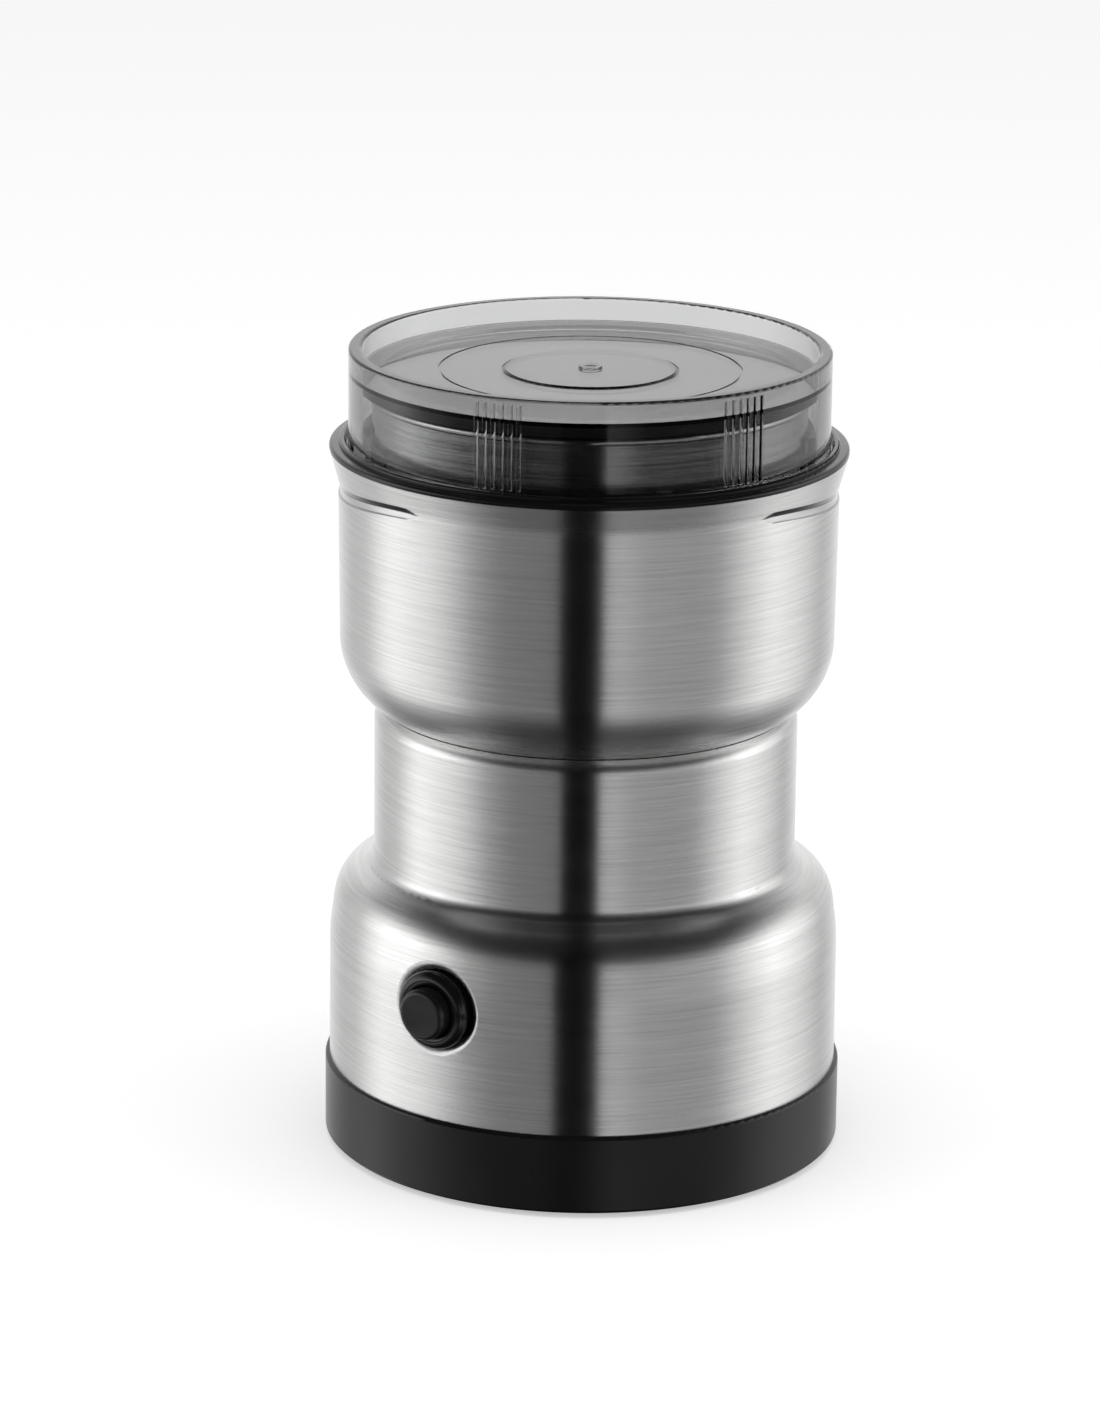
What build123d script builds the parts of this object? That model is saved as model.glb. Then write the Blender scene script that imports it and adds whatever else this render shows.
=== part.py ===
from build123d import *
import os
from math import cos, radians, sin, sqrt, tan

# An electric spice grinder: a steel body that holds an upright motor, a steel cup above it with a
# two-winged blade, and a clear lid that locks with a turn. All lengths are in millimetres.
# The origin is on the turning axis where the feet stand, +Z is up and the front faces -Y.
# Bearings are degrees seen from above, 0 at the front and growing towards +X.

os.makedirs("parts", exist_ok=True)


def bearing_point(bearing, radius):
    """The (x, y) place at a bearing from the front and a radius from the axis."""
    return (radius * sin(radians(bearing)), -radius * cos(radians(bearing)))


def save(name, solid):
    """Label one finished piece and write it as its own STEP file."""
    solid.label = name
    export_step(solid, f"parts/{name}.step")


# ---------------------------------------------------------------- driving dimensions

sheet = 0.8  # wall of every drawn steel piece
loose_fit = 0.3  # gap between pieces that move past each other
seat_fit = 0.2  # gap between a piece and the pocket it sits in
shaft_fit = 0.03  # radial gap between the shaft and what is pressed on it
running_fit = 0.06  # radial gap between the shaft and what it turns in

foot_stand = 1.0  # how far the feet hold the base off the table
base_step = 0.9  # how far the base stands out round the steel
base_height = 17.1
base_wall = 2.4
housing_r = 55.1
housing_height = 77.0
foot_taper = 0.1
break_height = 28.9  # the wall starts to draw in here
shoulder_taper = 1.6
shoulder_height = 40.8
shoulder_width = 7.9
shoulder_slope_height = 4.0
shoulder_round = 9.0
neck_round = 3.0
neck_roll = 1.8  # how far the neck's rolled top reaches in
neck_roll_round = 3.2
neck_roll_angle = 66.0

bowl_overhang = 7.8
bowl_taper = 0.55
bowl_corner_r = 17.5
bowl_height = 58.3
bowl_seat = 2.3  # how far the bowl's bottom reaches inside the neck
lip_flare = 1.9
lip_height = 6.0
lip_round = 12.0
groove_r = 1.5
groove_depth = 0.65
groove_below_lip = 10.2  # at the sides, where the grooves are lowest and deepest
groove_tilt_angle = 16.0
groove_half_angle = 47.0
groove_run_out = 1.0  # how much wider than the bowl a groove's ring is, so that its ends run out

collar_stand = 2.1  # top of the collar's upstand above the steel lip
collar_upstand = 1.55
collar_platform = 2.8
collar_skirt = 5.0

cup_gap = 2.2  # between the lid's wall and the cup
cup_stand = 13.2  # cup rim above the steel lip
cup_depth = 53.4
cup_corner_r = 14.0
cup_rim_r = 0.9

lid_inset = 2.1  # how far the lid's wall stands inside the bowl's
lid_wall = 2.8
lid_height = 21.6  # lid rim above the steel lip
lid_disc_drop = 4.8
lid_disc = 2.4
lid_edge_disc = 0.9
lid_insert = 1.2  # lid foot above the steel lip
lid_turn_angle = 20.0
rib_r = 0.6
rib_pitch = 2.1
rib_count = 6
rib_bearings = (-22.0, 38.0)  # the middles of the two groups of ribs
seal_width = 4.5
seal_thickness = 2.2

lug_angle = 12.0
lug_height = 1.8
lug_reach = 1.1
lug_bearings = (105.0, 285.0)
hook_height = 4.1
hook_arm = 1.6
hook_post_angle = 3.4

pin_r = 1.0
pin_inset = 2.0  # from the lid's outside to the pin's axis
pin_bearing = 205.0
pin_travel = 2.3
pin_flange_r = 1.7
pin_spring_length = 12.0

button_bearing = -34.7
button_height = 24.4  # above the steel's foot
button_hole_r = 8.3
button_dimple = 1.0  # how deep the bezel's edge sits
dimple_round = 1.9
bezel_opening_r = 5.9
bezel_proud = 2.4
cap_r = 5.5
cap_proud = 5.2
cap_travel = 3.0
cap_flange_r = 6.7
switch_side = 18.0
switch_depth = 12.0

stack_height = 24.0
stator_end_gap = 5.5  # from the stator's ends to the circle inside the posts
stator_corner_gap = 1.3  # from its corners to the posts
stator_corner_r = 12.0
stator_yoke = 2.8
window_width = 5.9
air_gap = 0.5
pole_half_angle = 43.0
coil_overhang = 6.0
bracket_plate = 3.0
upper_leg = 12.0
lower_leg = 18.0
bearing_r = 6.0
bearing_length = 7.0
cushion_thickness = 3.0
motor_boss = 2.1
motor_screw_r = 2.0
shaft_r = 3.0
shaft_tip_r = 2.5
shaft_tip = 3.8  # how far the shaft stands above the blade

blade_reach = 38.5
blade_width = 13.0
blade_thickness = 1.4
blade_twist_angle = 24.0
bush_height = 2.6
bush_wall = 2.2
nut_across_r = 4.6

post_inset = 7.0  # from the neck's outside to the posts' axes
post_r = 4.0
post_bearings = (0.0, 120.0, 240.0)
column_height = 26.6
screw_r = 1.5

# ---------------------------------------------------------------- radii worked out from them

base_r = housing_r + base_step
break_r = housing_r - foot_taper
shoulder_r = break_r - shoulder_taper
neck_r = shoulder_r - shoulder_width
bowl_r = neck_r + bowl_overhang
bowl_foot_r = bowl_r - bowl_taper
bowl_hole_r = neck_r - bowl_seat
lip_r = bowl_r + lip_flare
lid_r = bowl_r - lid_inset
lid_inner_r = lid_r - lid_wall
cup_r = lid_inner_r - cup_gap
seal_inner_r = lid_inner_r - seal_width
pin_circle_r = lid_r - pin_inset
upstand_inner_r = lid_r + loose_fit + 0.15
collar_upstand_r = upstand_inner_r + collar_upstand
collar_inner_r = cup_r + loose_fit
post_circle_r = neck_r - post_inset
motor_room_r = post_circle_r - post_r
post_side = sin(radians(post_bearings[1]))
post_back = -cos(radians(post_bearings[1]))
corner_x = motor_room_r - stator_end_gap - stator_corner_r
corner_y = (motor_room_r - stator_corner_gap - stator_corner_r - corner_x * post_side) / post_back
stator_x = 2 * (corner_x + stator_corner_r)
stator_y = 2 * (corner_y + stator_corner_r)
window_r = stator_y / 2 - stator_yoke
armature_r = window_r - window_width - air_gap

# ---------------------------------------------------------------- levels worked out from them

base_top = foot_stand + base_height
bowl_base = base_top + housing_height
lip_top = bowl_base + bowl_height
rim_top = lip_top + cup_stand
lid_top = lip_top + lid_height
lid_foot = lip_top + lid_insert
disc_top = lid_top - lid_disc_drop
disc_base = disc_top - lid_disc
cup_base = rim_top - cup_depth
cup_floor = cup_base + sheet
platform_top = lid_foot - loose_fit
platform_base = platform_top - collar_platform
frame_base = bowl_base + sheet + seat_fit
frame_r = cup_r + seat_fit + 1.6
frame_wall = 3.0
post_base = foot_stand + base_wall + column_height
button_z = base_top + button_height

plate_top = frame_base - motor_boss - cushion_thickness
stack_top = plate_top - bracket_plate - upper_leg
stack_base = stack_top - stack_height
lower_plate_top = stack_base - lower_leg
lower_plate_base = lower_plate_top - bracket_plate

# ---------------------------------------------------------------- base

# The base is a moulded pan. It closes the body from below, carries the feet and the mains inlet,
# and has three columns that meet the posts of the inner frame.
ledge_round = 0.7
spigot_height = 6.0
spigot_wall = 2.0
spigot_r = housing_r - sheet - seat_fit
column_r = post_r + 0.6
column_head_r = 3.0
column_head_depth = 8.0
foot_r = 6.0
foot_inset = 10.0
foot_circle_r = base_r - foot_inset
foot_pocket = 1.2
foot_bearings = (45.0, 135.0, 225.0, 315.0)
vent_length = 13.0
vent_width = 3.0
vent_circle_r = 21.0
vent_count = 12
inlet_height = 10.5
inlet_bore_r = 3.5
inlet_bush_r = 5.0
inlet_flange_r = 7.0
inlet_flange = 1.2
inlet_pocket = 1.6
inlet_length = 9.0
base_floor_top = foot_stand + base_wall
rear = Plane((0, base_r, inlet_height), x_dir=(-1, 0, 0), z_dir=(0, 1, 0))
clamp_inset = 16.0
clamp_boss_y = base_r - clamp_inset
clamp_boss_x = 9.0
clamp_boss_r = 3.0
clamp_boss_top = inlet_height - inlet_bore_r + 0.4
clamp_bosses = [(clamp_boss_x, clamp_boss_y), (-clamp_boss_x, clamp_boss_y)]

with BuildPart() as base_cover:
    with BuildSketch(Plane.XY.offset(foot_stand)):
        Circle(base_r)
    extrude(amount=base_height)
    fillet(base_cover.edges().group_by(Axis.Z)[-1], ledge_round)
    chamfer(base_cover.edges().group_by(Axis.Z)[0], ledge_round)
    with BuildSketch(Plane.XY.offset(base_floor_top)):
        Circle(spigot_r - spigot_wall)
    extrude(amount=base_height, mode=Mode.SUBTRACT)
    with BuildSketch(Plane.XY.offset(base_top)):
        Circle(spigot_r)
        Circle(spigot_r - spigot_wall, mode=Mode.SUBTRACT)
    extrude(amount=spigot_height)
    with BuildSketch(Plane.XY.offset(base_floor_top)):
        with Locations(*[bearing_point(b, post_circle_r) for b in post_bearings]):
            Circle(column_r)
    extrude(amount=column_height)
    with BuildSketch(Plane.XY.offset(base_floor_top)):
        with Locations(*clamp_bosses):
            Circle(clamp_boss_r)
    extrude(amount=clamp_boss_top - base_floor_top)
    with Locations(*[(*bearing_point(b, post_circle_r), foot_stand) for b in post_bearings]):
        Cylinder(screw_r + seat_fit, base_wall + column_height, mode=Mode.SUBTRACT,
                 align=(Align.CENTER, Align.CENTER, Align.MIN))
        Cylinder(column_head_r, column_head_depth, mode=Mode.SUBTRACT,
                 align=(Align.CENTER, Align.CENTER, Align.MIN))
    with Locations(*[(*bearing_point(b, foot_circle_r), foot_stand) for b in foot_bearings]):
        Cylinder(foot_r + 0.1, foot_pocket, mode=Mode.SUBTRACT,
                 align=(Align.CENTER, Align.CENTER, Align.MIN))
    with BuildSketch(Plane.XY.offset(foot_stand)):
        with PolarLocations(vent_circle_r, vent_count):
            Rectangle(vent_length, vent_width)
    extrude(amount=base_wall, mode=Mode.SUBTRACT)
    with BuildSketch(rear):
        Circle(inlet_flange_r + seat_fit)
    extrude(amount=-inlet_pocket, mode=Mode.SUBTRACT)
    with BuildSketch(rear):
        Circle(inlet_bush_r)
    extrude(amount=-(inlet_length + spigot_wall), mode=Mode.SUBTRACT)

# Each foot is a rubber button pressed into a shallow pocket under the pan.
with BuildPart() as rubber_feet:
    with BuildSketch():
        with Locations(*[bearing_point(b, foot_circle_r) for b in foot_bearings]):
            Circle(foot_r)
    extrude(amount=foot_stand + foot_pocket)
    chamfer(rubber_feet.edges().group_by(Axis.Z)[0], 0.5)

# Long screws rise through the columns into the posts of the inner frame.
screw_bite = 10.0
head_height = 2.2
with BuildPart() as base_screws:
    with BuildSketch(Plane.XY.offset(foot_stand + column_head_depth - head_height)):
        with Locations(*[bearing_point(b, post_circle_r) for b in post_bearings]):
            Circle(column_head_r - seat_fit)
    extrude(amount=head_height)
    with BuildSketch(Plane.XY.offset(foot_stand + column_head_depth)):
        with Locations(*[bearing_point(b, post_circle_r) for b in post_bearings]):
            Circle(screw_r)
    extrude(amount=post_base + screw_bite - foot_stand - column_head_depth)
    with Locations(*[(*bearing_point(b, post_circle_r), foot_stand + column_head_depth - head_height)
                     for b in post_bearings]):
        Box(0.8, 3.6, 0.9, mode=Mode.SUBTRACT, align=(Align.CENTER, Align.CENTER, Align.MIN))
        Box(3.6, 0.8, 0.9, mode=Mode.SUBTRACT, align=(Align.CENTER, Align.CENTER, Align.MIN))

# The mains inlet is a flanged bush through the back wall of the pan.
with BuildPart() as cord_gland:
    with BuildSketch(rear.offset(-inlet_pocket)):
        Circle(inlet_flange_r)
    extrude(amount=inlet_flange)
    with BuildSketch(rear.offset(-inlet_pocket)):
        Circle(inlet_bush_r - 0.05)
    extrude(amount=-(inlet_length - inlet_pocket))
    with BuildSketch(rear):
        Circle(inlet_bore_r)
    extrude(amount=-inlet_length, mode=Mode.SUBTRACT)
    chamfer(cord_gland.edges().filter_by(GeomType.CIRCLE).group_by(Axis.Y)[-1], 0.4)

# A bar on two bosses grips the cord behind the inlet.
clamp_bar = 3.0
clamp_length = 2 * (clamp_boss_x + clamp_boss_r)
with BuildPart() as cord_clamp:
    with BuildSketch(Plane.XY.offset(clamp_boss_top)):
        with Locations((0, clamp_boss_y)):
            SlotOverall(clamp_length, 2 * clamp_boss_r)
    extrude(amount=clamp_bar)
    with BuildSketch(Plane.XY.offset(clamp_boss_top)):
        with Locations((0, clamp_boss_y)):
            Rectangle(2 * inlet_bore_r, 2 * clamp_boss_r)
    extrude(amount=clamp_bar / 2, mode=Mode.SUBTRACT)
    with Locations(*[(*boss, clamp_boss_top) for boss in clamp_bosses]):
        Hole(screw_r + 0.05, depth=2 * clamp_bar)

clamp_head_r = 2.6
with BuildPart() as clamp_screws:
    with BuildSketch(Plane.XY.offset(clamp_boss_top + clamp_bar)):
        with Locations(*clamp_bosses):
            Circle(clamp_head_r)
    extrude(amount=head_height)
    with BuildSketch(Plane.XY.offset(clamp_boss_top)):
        with Locations(*clamp_bosses):
            Circle(screw_r)
    extrude(amount=clamp_bar)
    with Locations(*[(*boss, clamp_boss_top + clamp_bar + head_height) for boss in clamp_bosses]):
        Box(2 * clamp_head_r, 0.8, 1.0, mode=Mode.SUBTRACT)

# The terminal block joins the cord to the switch and the motor. Its wire holes run front to back.
block_x = 30.0
block_y = 14.0
block_z = 12.0
block_from_clamp = 20.0
block_at = clamp_boss_y - block_from_clamp
way_pitch = 9.5
way_r = 1.8
with BuildPart() as terminal_block:
    with Locations((0, block_at, base_floor_top)):
        Box(block_x, block_y, block_z, align=(Align.CENTER, Align.CENTER, Align.MIN))
    chamfer(terminal_block.edges().filter_by(Axis.X).group_by(Axis.Z)[-1], 2.0)
    with Locations(Plane((0, block_at - block_y / 2, base_floor_top + block_z / 2), z_dir=(0, -1, 0))):
        with GridLocations(way_pitch, way_pitch, 3, 1):
            Hole(way_r, depth=block_y)
    with Locations((0, block_at, base_floor_top + block_z)):
        with GridLocations(way_pitch, way_pitch, 3, 1):
            Hole(way_r, depth=block_z / 2)

capacitor_x = 18.0
capacitor_y = 9.0
capacitor_z = 15.0
capacitor_at = block_at - block_y / 2 - capacitor_y / 2 - 9.0
with BuildPart() as suppressor_capacitor:
    with Locations((0, capacitor_at, base_floor_top)):
        Box(capacitor_x, capacitor_y, capacitor_z, align=(Align.CENTER, Align.CENTER, Align.MIN))
    fillet(suppressor_capacitor.edges().filter_by(Axis.Z), 1.0)

# ---------------------------------------------------------------- steel body

# The lower housing is one deep-drawn tube: a straight foot, a round shoulder and a narrower neck.
# The button's hole in it has an edge that is drawn inwards.
break_z = base_top + break_height
shoulder_z = base_top + shoulder_height
slope_z = shoulder_z + shoulder_slope_height
button_dir = Vector(sin(radians(button_bearing)), -cos(radians(button_bearing)), 0)
button_axis = Axis((0, 0, button_z), button_dir)
button_side = Plane((0, 0, button_z), x_dir=button_dir, z_dir=(0, 0, 1))
button_face = Plane((0, 0, button_z), x_dir=(0, 0, 1), z_dir=button_dir)
bowl_centre_r = bowl_foot_r - bowl_corner_r
neck_mouth_r = neck_r - neck_roll
neck_reach = neck_mouth_r - bowl_centre_r
neck_top = bowl_base + bowl_corner_r - sqrt(bowl_corner_r**2 - neck_reach**2) - loose_fit
roll_slope = tan(radians(neck_roll_angle))
roll_z = neck_top - neck_roll / roll_slope


def housing_line(inset):
    """The lower housing's outline from its foot up to its rolled top, moved inwards by inset."""
    roll_foot = roll_z - inset * tan(radians(neck_roll_angle / 2))
    return FilletPolyline(
        (housing_r - inset, base_top),
        (break_r - inset, break_z),
        (shoulder_r - inset, shoulder_z - inset / 2),
        (neck_r - inset, slope_z - inset / 2),
        (neck_r - inset, roll_foot),
        (neck_mouth_r - neck_roll, roll_foot + (2 * neck_roll - inset) / roll_slope),
        radius=(4 * shoulder_round, shoulder_round - inset, neck_round + inset, neck_roll_round - inset),
    )


dimple_boss_r = button_hole_r + dimple_round + 0.9
dimple_boss_inner = housing_r - sheet - dimple_round - 0.6
with BuildPart() as lower_housing:
    with BuildSketch(Plane.XZ):
        with BuildLine():
            outer = housing_line(0)
            Line(outer @ 1, (0, (outer @ 1).Y))
            Line((0, (outer @ 1).Y), (0, base_top))
            Line((0, base_top), outer @ 0)
        make_face()
    revolve(axis=Axis.Z)
    with BuildSketch(Plane.XZ):
        with BuildLine():
            inner = housing_line(sheet)
            Line(inner @ 1, (0, (inner @ 1).Y))
            Line((0, (inner @ 1).Y), (0, base_top))
            Line((0, base_top), inner @ 0)
        make_face()
    revolve(axis=Axis.Z, mode=Mode.SUBTRACT)
    with BuildSketch(Plane.XY.offset(slope_z)):
        Circle(neck_mouth_r)
    extrude(amount=bowl_height, mode=Mode.SUBTRACT)
    with BuildSketch(button_face.offset(dimple_boss_inner)):
        Circle(dimple_boss_r)
    extrude(until=Until.NEXT)
    with BuildSketch(button_face.offset(dimple_boss_inner)):
        Circle(button_hole_r)
    extrude(amount=2 * button_hole_r, mode=Mode.SUBTRACT)
    hole_rim = lower_housing.edges().filter_by(
        lambda e: abs(e.distance_to(button_axis.position + button_dir * housing_r) - button_hole_r) < 0.2
    )
    fillet(hole_rim.sort_by(Axis(button_axis.position, button_dir))[-1], dimple_round)

# The upper shell is a spun bowl with a flared lip. A long groove is pressed into each side, lowest
# in its middle, and runs out towards its ends.
crease_z = lip_top - lip_height


def bowl_line(inset):
    """The upper shell's outline from its bottom up to its lip, moved inwards by inset."""
    return FilletPolyline(
        (bowl_centre_r / 2, bowl_base + inset),
        (bowl_foot_r - inset, bowl_base + inset),
        (bowl_r - inset, crease_z),
        (lip_r - inset, lip_top),
        radius=(bowl_corner_r - inset, lip_round + inset),
    )


groove_z = lip_top - groove_below_lip
groove_ring_r = bowl_r + groove_run_out
groove_ring_x = bowl_r + groove_r - groove_depth - groove_ring_r * cos(radians(groove_tilt_angle))
groove_ring_z = groove_z + groove_ring_r * sin(radians(groove_tilt_angle))
with BuildPart() as upper_shell:
    with BuildSketch(Plane.XZ):
        with BuildLine():
            outer = bowl_line(0)
            Line(outer @ 1, (0, lip_top))
            Line((0, lip_top), (0, bowl_base))
            Line((0, bowl_base), outer @ 0)
        make_face()
    revolve(axis=Axis.Z)
    with BuildSketch(Plane.XZ):
        with BuildLine():
            inner = bowl_line(sheet)
            Line(inner @ 1, (0, lip_top))
            Line((0, lip_top), (0, bowl_base + sheet))
            Line((0, bowl_base + sheet), inner @ 0)
        make_face()
    revolve(axis=Axis.Z, mode=Mode.SUBTRACT)
    with BuildSketch(Plane.XY.offset(bowl_base)):
        Circle(bowl_hole_r)
    extrude(amount=bowl_corner_r / 2, mode=Mode.SUBTRACT)
    for side, middle in ((1, 0.0), (-1, 180.0)):
        ring_place = Location((side * groove_ring_x, 0, groove_ring_z), (0, side * groove_tilt_angle, 0))
        with Locations(ring_place):
            Torus(groove_ring_r, groove_r, major_angle=2 * groove_half_angle, align=None,
                  rotation=(0, 0, middle - groove_half_angle), mode=Mode.SUBTRACT)

# ---------------------------------------------------------------- inner frame

# The inner frame is the moulded chassis: a bucket round the cup, a tower under the cup's floor,
# bosses that the motor hangs from, and three long posts down to the base.
tower_r = 16.0
tower_bore_r = 6.5
tube_r = 9.0
cup_hole_r = tube_r + seat_fit
tube_top = cup_floor + 4.0
rib_web = 2.0
frame_floor_top = frame_base + frame_wall
frame_bevel = 6.0
boss_r = 2.2
boss_depth = 9.0
boss_bearings = (20.0, 110.0, 160.0, 290.0)
motor_boss_r = 5.0
motor_hole_inset = 3.4
motor_hole_x = stator_x / 2 - motor_hole_inset
pin_x, pin_y = bearing_point(pin_bearing, pin_circle_r)
guide_top = platform_base - loose_fit - pin_travel - pin_spring_length
guide_height = 3.0
switch_box_x = 12.8
switch_box_y = 5.8
switch_box_z = 10.0
switch_box_inset = 1.8
switch_box_r = pin_circle_r - switch_box_inset
switch_box_stand = 12.0
switch_box_base = bowl_base + switch_box_stand
switch_leg = 3.0
switch_leg_r = switch_box_r - 1.5
switch_legs = [(*bearing_point(pin_bearing + turn, switch_leg_r), switch_box_base) for turn in (-5.5, 5.5)]
pin_plane = Plane.XY.rotated((0, 0, pin_bearing))

with BuildPart() as inner_frame:
    with BuildSketch(Plane.XZ):
        with BuildLine():
            skin = sheet + seat_fit
            outer = FilletPolyline(
                (bowl_centre_r / 2, frame_base),
                (bowl_foot_r - skin, frame_base),
                (bowl_foot_r - skin, platform_base),
                radius=bowl_corner_r - skin,
            )
            Line(outer @ 1, (0, platform_base))
            Line((0, platform_base), (0, frame_base))
            Line((0, frame_base), outer @ 0)
        make_face()
        with Locations((0, frame_base)):
            Rectangle(frame_r, bowl_height, align=(Align.MIN, Align.MIN), mode=Mode.INTERSECT)
    revolve(axis=Axis.Z)
    with BuildSketch(Plane.XZ):
        with BuildLine():
            Polyline(
                (0, frame_floor_top),
                (cup_r + seat_fit - frame_bevel, frame_floor_top),
                (cup_r + seat_fit, frame_floor_top + frame_bevel),
                (cup_r + seat_fit, platform_base),
                (0, platform_base),
                close=True,
            )
        make_face()
    revolve(axis=Axis.Z, mode=Mode.SUBTRACT)
    with BuildSketch(Plane.XY.offset(frame_floor_top)):
        Circle(tower_r)
    extrude(amount=cup_base - frame_floor_top)
    with BuildSketch(Plane.XY.offset(cup_base)):
        Circle(tube_r)
    extrude(amount=tube_top - cup_base)
    with BuildSketch(Plane.XY.offset(frame_floor_top)):
        with PolarLocations((tower_r + cup_r) / 2, 6, start_angle=90 - pin_bearing):
            Rectangle(cup_r - tower_r - 2.0, rib_web)
    extrude(amount=cup_base - frame_floor_top - 2.0)
    with BuildSketch(Plane.XY.offset(post_base)):
        with Locations(*[bearing_point(b, post_circle_r) for b in post_bearings]):
            Circle(post_r)
    extrude(amount=frame_floor_top - post_base)
    with BuildSketch(Plane.XY.offset(frame_base)):
        with Locations((motor_hole_x, 0), (-motor_hole_x, 0)):
            Circle(motor_boss_r)
    extrude(amount=-motor_boss)
    with BuildSketch(Plane.XY.offset(platform_base)):
        with Locations(*[bearing_point(b, pin_circle_r) for b in boss_bearings]):
            Circle(boss_r)
    extrude(amount=-boss_depth)
    with BuildSketch(Plane.XY.offset(guide_top)):
        with Locations((pin_x, pin_y)):
            Circle(boss_r)
    extrude(amount=-guide_height)
    with BuildSketch(Plane.XY.offset(guide_top)):
        with Locations((pin_x, pin_y)):
            Circle(boss_r)
    extrude(amount=platform_base - guide_top, mode=Mode.SUBTRACT)
    with BuildSketch(Plane.XY.offset(switch_box_base)):
        with Locations((pin_x, pin_y)):
            Circle(pin_r + loose_fit)
    extrude(amount=platform_base - switch_box_base, mode=Mode.SUBTRACT)
    with BuildSketch(pin_plane.offset(switch_box_base)):
        with Locations((0, -switch_box_r)):
            Rectangle(switch_box_x + 2 * seat_fit, switch_box_y + 2 * seat_fit)
    extrude(amount=switch_box_z + pin_travel, mode=Mode.SUBTRACT)
    with Locations(*switch_legs):
        Box(2.0, 2.6, switch_leg + 0.2, mode=Mode.SUBTRACT, align=(Align.CENTER, Align.CENTER, Align.MAX))
    with Locations((0, 0, frame_base)):
        Cylinder(tower_bore_r, tube_top - frame_base, mode=Mode.SUBTRACT,
                 align=(Align.CENTER, Align.CENTER, Align.MIN))
    with Locations((motor_hole_x, 0, frame_base - motor_boss), (-motor_hole_x, 0, frame_base - motor_boss)):
        Cylinder(motor_screw_r, motor_boss + frame_wall, mode=Mode.SUBTRACT,
                 align=(Align.CENTER, Align.CENTER, Align.MIN))
    with Locations(*[(*bearing_point(b, post_circle_r), post_base) for b in post_bearings]):
        Cylinder(screw_r, screw_bite + 2.0, mode=Mode.SUBTRACT,
                 align=(Align.CENTER, Align.CENTER, Align.MIN))
    with Locations(*[(*bearing_point(b, pin_circle_r), platform_base) for b in boss_bearings]):
        Cylinder(1.0, boss_depth - 1.0, mode=Mode.SUBTRACT,
                 align=(Align.CENTER, Align.CENTER, Align.MAX))

# ---------------------------------------------------------------- collar

# The collar is a black ring. Its flange covers the steel lip, its upstand stands round the lid's
# foot, and two hooks on its platform hold the lid's lugs down once the lid has turned.
collar_r = bowl_r - sheet - seat_fit - 0.1
flange_top = lip_top + 1.1
upstand_top = lip_top + collar_stand
upstand_round = 0.45
skirt_wall = 1.3
hook_r = lid_inner_r - loose_fit
hook_inner_r = cup_r + 0.4
hook_top = lid_foot + hook_height
hook_gap_angle = 1.5
hook_reach_angle = lid_turn_angle + hook_post_angle


def ring_sector(inner_r, outer_r, start, stop):
    """A ring's sector between two bearings, for a sketch on a level plane."""
    with BuildSketch(mode=Mode.PRIVATE) as sector:
        with BuildLine():
            far = CenterArc((0, 0), outer_r, start - 90, stop - start)
            near = CenterArc((0, 0), inner_r, start - 90, stop - start)
            Line(near @ 0, far @ 0)
            Line(near @ 1, far @ 1)
        make_face()
    return sector.sketch


with BuildPart() as collar_ring:
    with BuildSketch(Plane.XZ):
        with BuildLine():
            Polyline(
                (collar_inner_r, platform_base),
                (collar_r, platform_base),
                (collar_r, lip_top),
                (lip_r, lip_top),
                (lip_r, flange_top),
                (collar_upstand_r, flange_top + 0.15),
                (collar_upstand_r, upstand_top),
                (upstand_inner_r, upstand_top),
                (upstand_inner_r, platform_top),
                (collar_inner_r, platform_top),
                close=True,
            )
        make_face()
    revolve(axis=Axis.Z)
    outer_edges = collar_ring.edges().filter_by(GeomType.CIRCLE)
    fillet(outer_edges.filter_by(lambda e: abs(e.radius - lip_r) < 0.01).sort_by(Axis.Z)[-1], 0.6)
    upstand_rims = collar_ring.edges().filter_by(GeomType.CIRCLE).group_by(Axis.Z)[-1]
    chamfer(upstand_rims.sort_by(SortBy.RADIUS)[0], upstand_round)
    upstand_rims = collar_ring.edges().filter_by(GeomType.CIRCLE).group_by(Axis.Z)[-1]
    fillet(upstand_rims.sort_by(SortBy.RADIUS)[-1], upstand_round)
    with BuildSketch(Plane.XY.offset(platform_base)):
        Circle(collar_r)
        Circle(collar_r - skirt_wall, mode=Mode.SUBTRACT)
    extrude(amount=-collar_skirt)
    for b in lug_bearings:
        hook_start = b - lug_angle / 2 - hook_reach_angle
        with BuildSketch(Plane.XY.offset(hook_top)):
            add(ring_sector(hook_inner_r, hook_r, hook_start, b - lug_angle / 2 - hook_gap_angle))
        extrude(amount=-hook_arm)
        with BuildSketch(Plane.XY.offset(platform_top)):
            add(ring_sector(hook_inner_r, hook_r, hook_start, hook_start + hook_post_angle - 1.0))
        extrude(amount=hook_top - platform_top)
    with Locations((pin_x, pin_y, platform_top)):
        Hole(pin_r + loose_fit, depth=collar_platform)
    with Locations((pin_x, pin_y, platform_base)):
        Cylinder(pin_flange_r + loose_fit, collar_skirt, mode=Mode.SUBTRACT,
                 align=(Align.CENTER, Align.CENTER, Align.MAX))
    for b in boss_bearings:
        with Locations((*bearing_point(b, pin_circle_r), platform_base)):
            Cylinder(boss_r + seat_fit, collar_skirt, mode=Mode.SUBTRACT,
                     align=(Align.CENTER, Align.CENTER, Align.MAX))
        with Locations((*bearing_point(b, pin_circle_r), platform_top)):
            CounterSinkHole(1.1, 2.0, depth=collar_platform)

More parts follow.
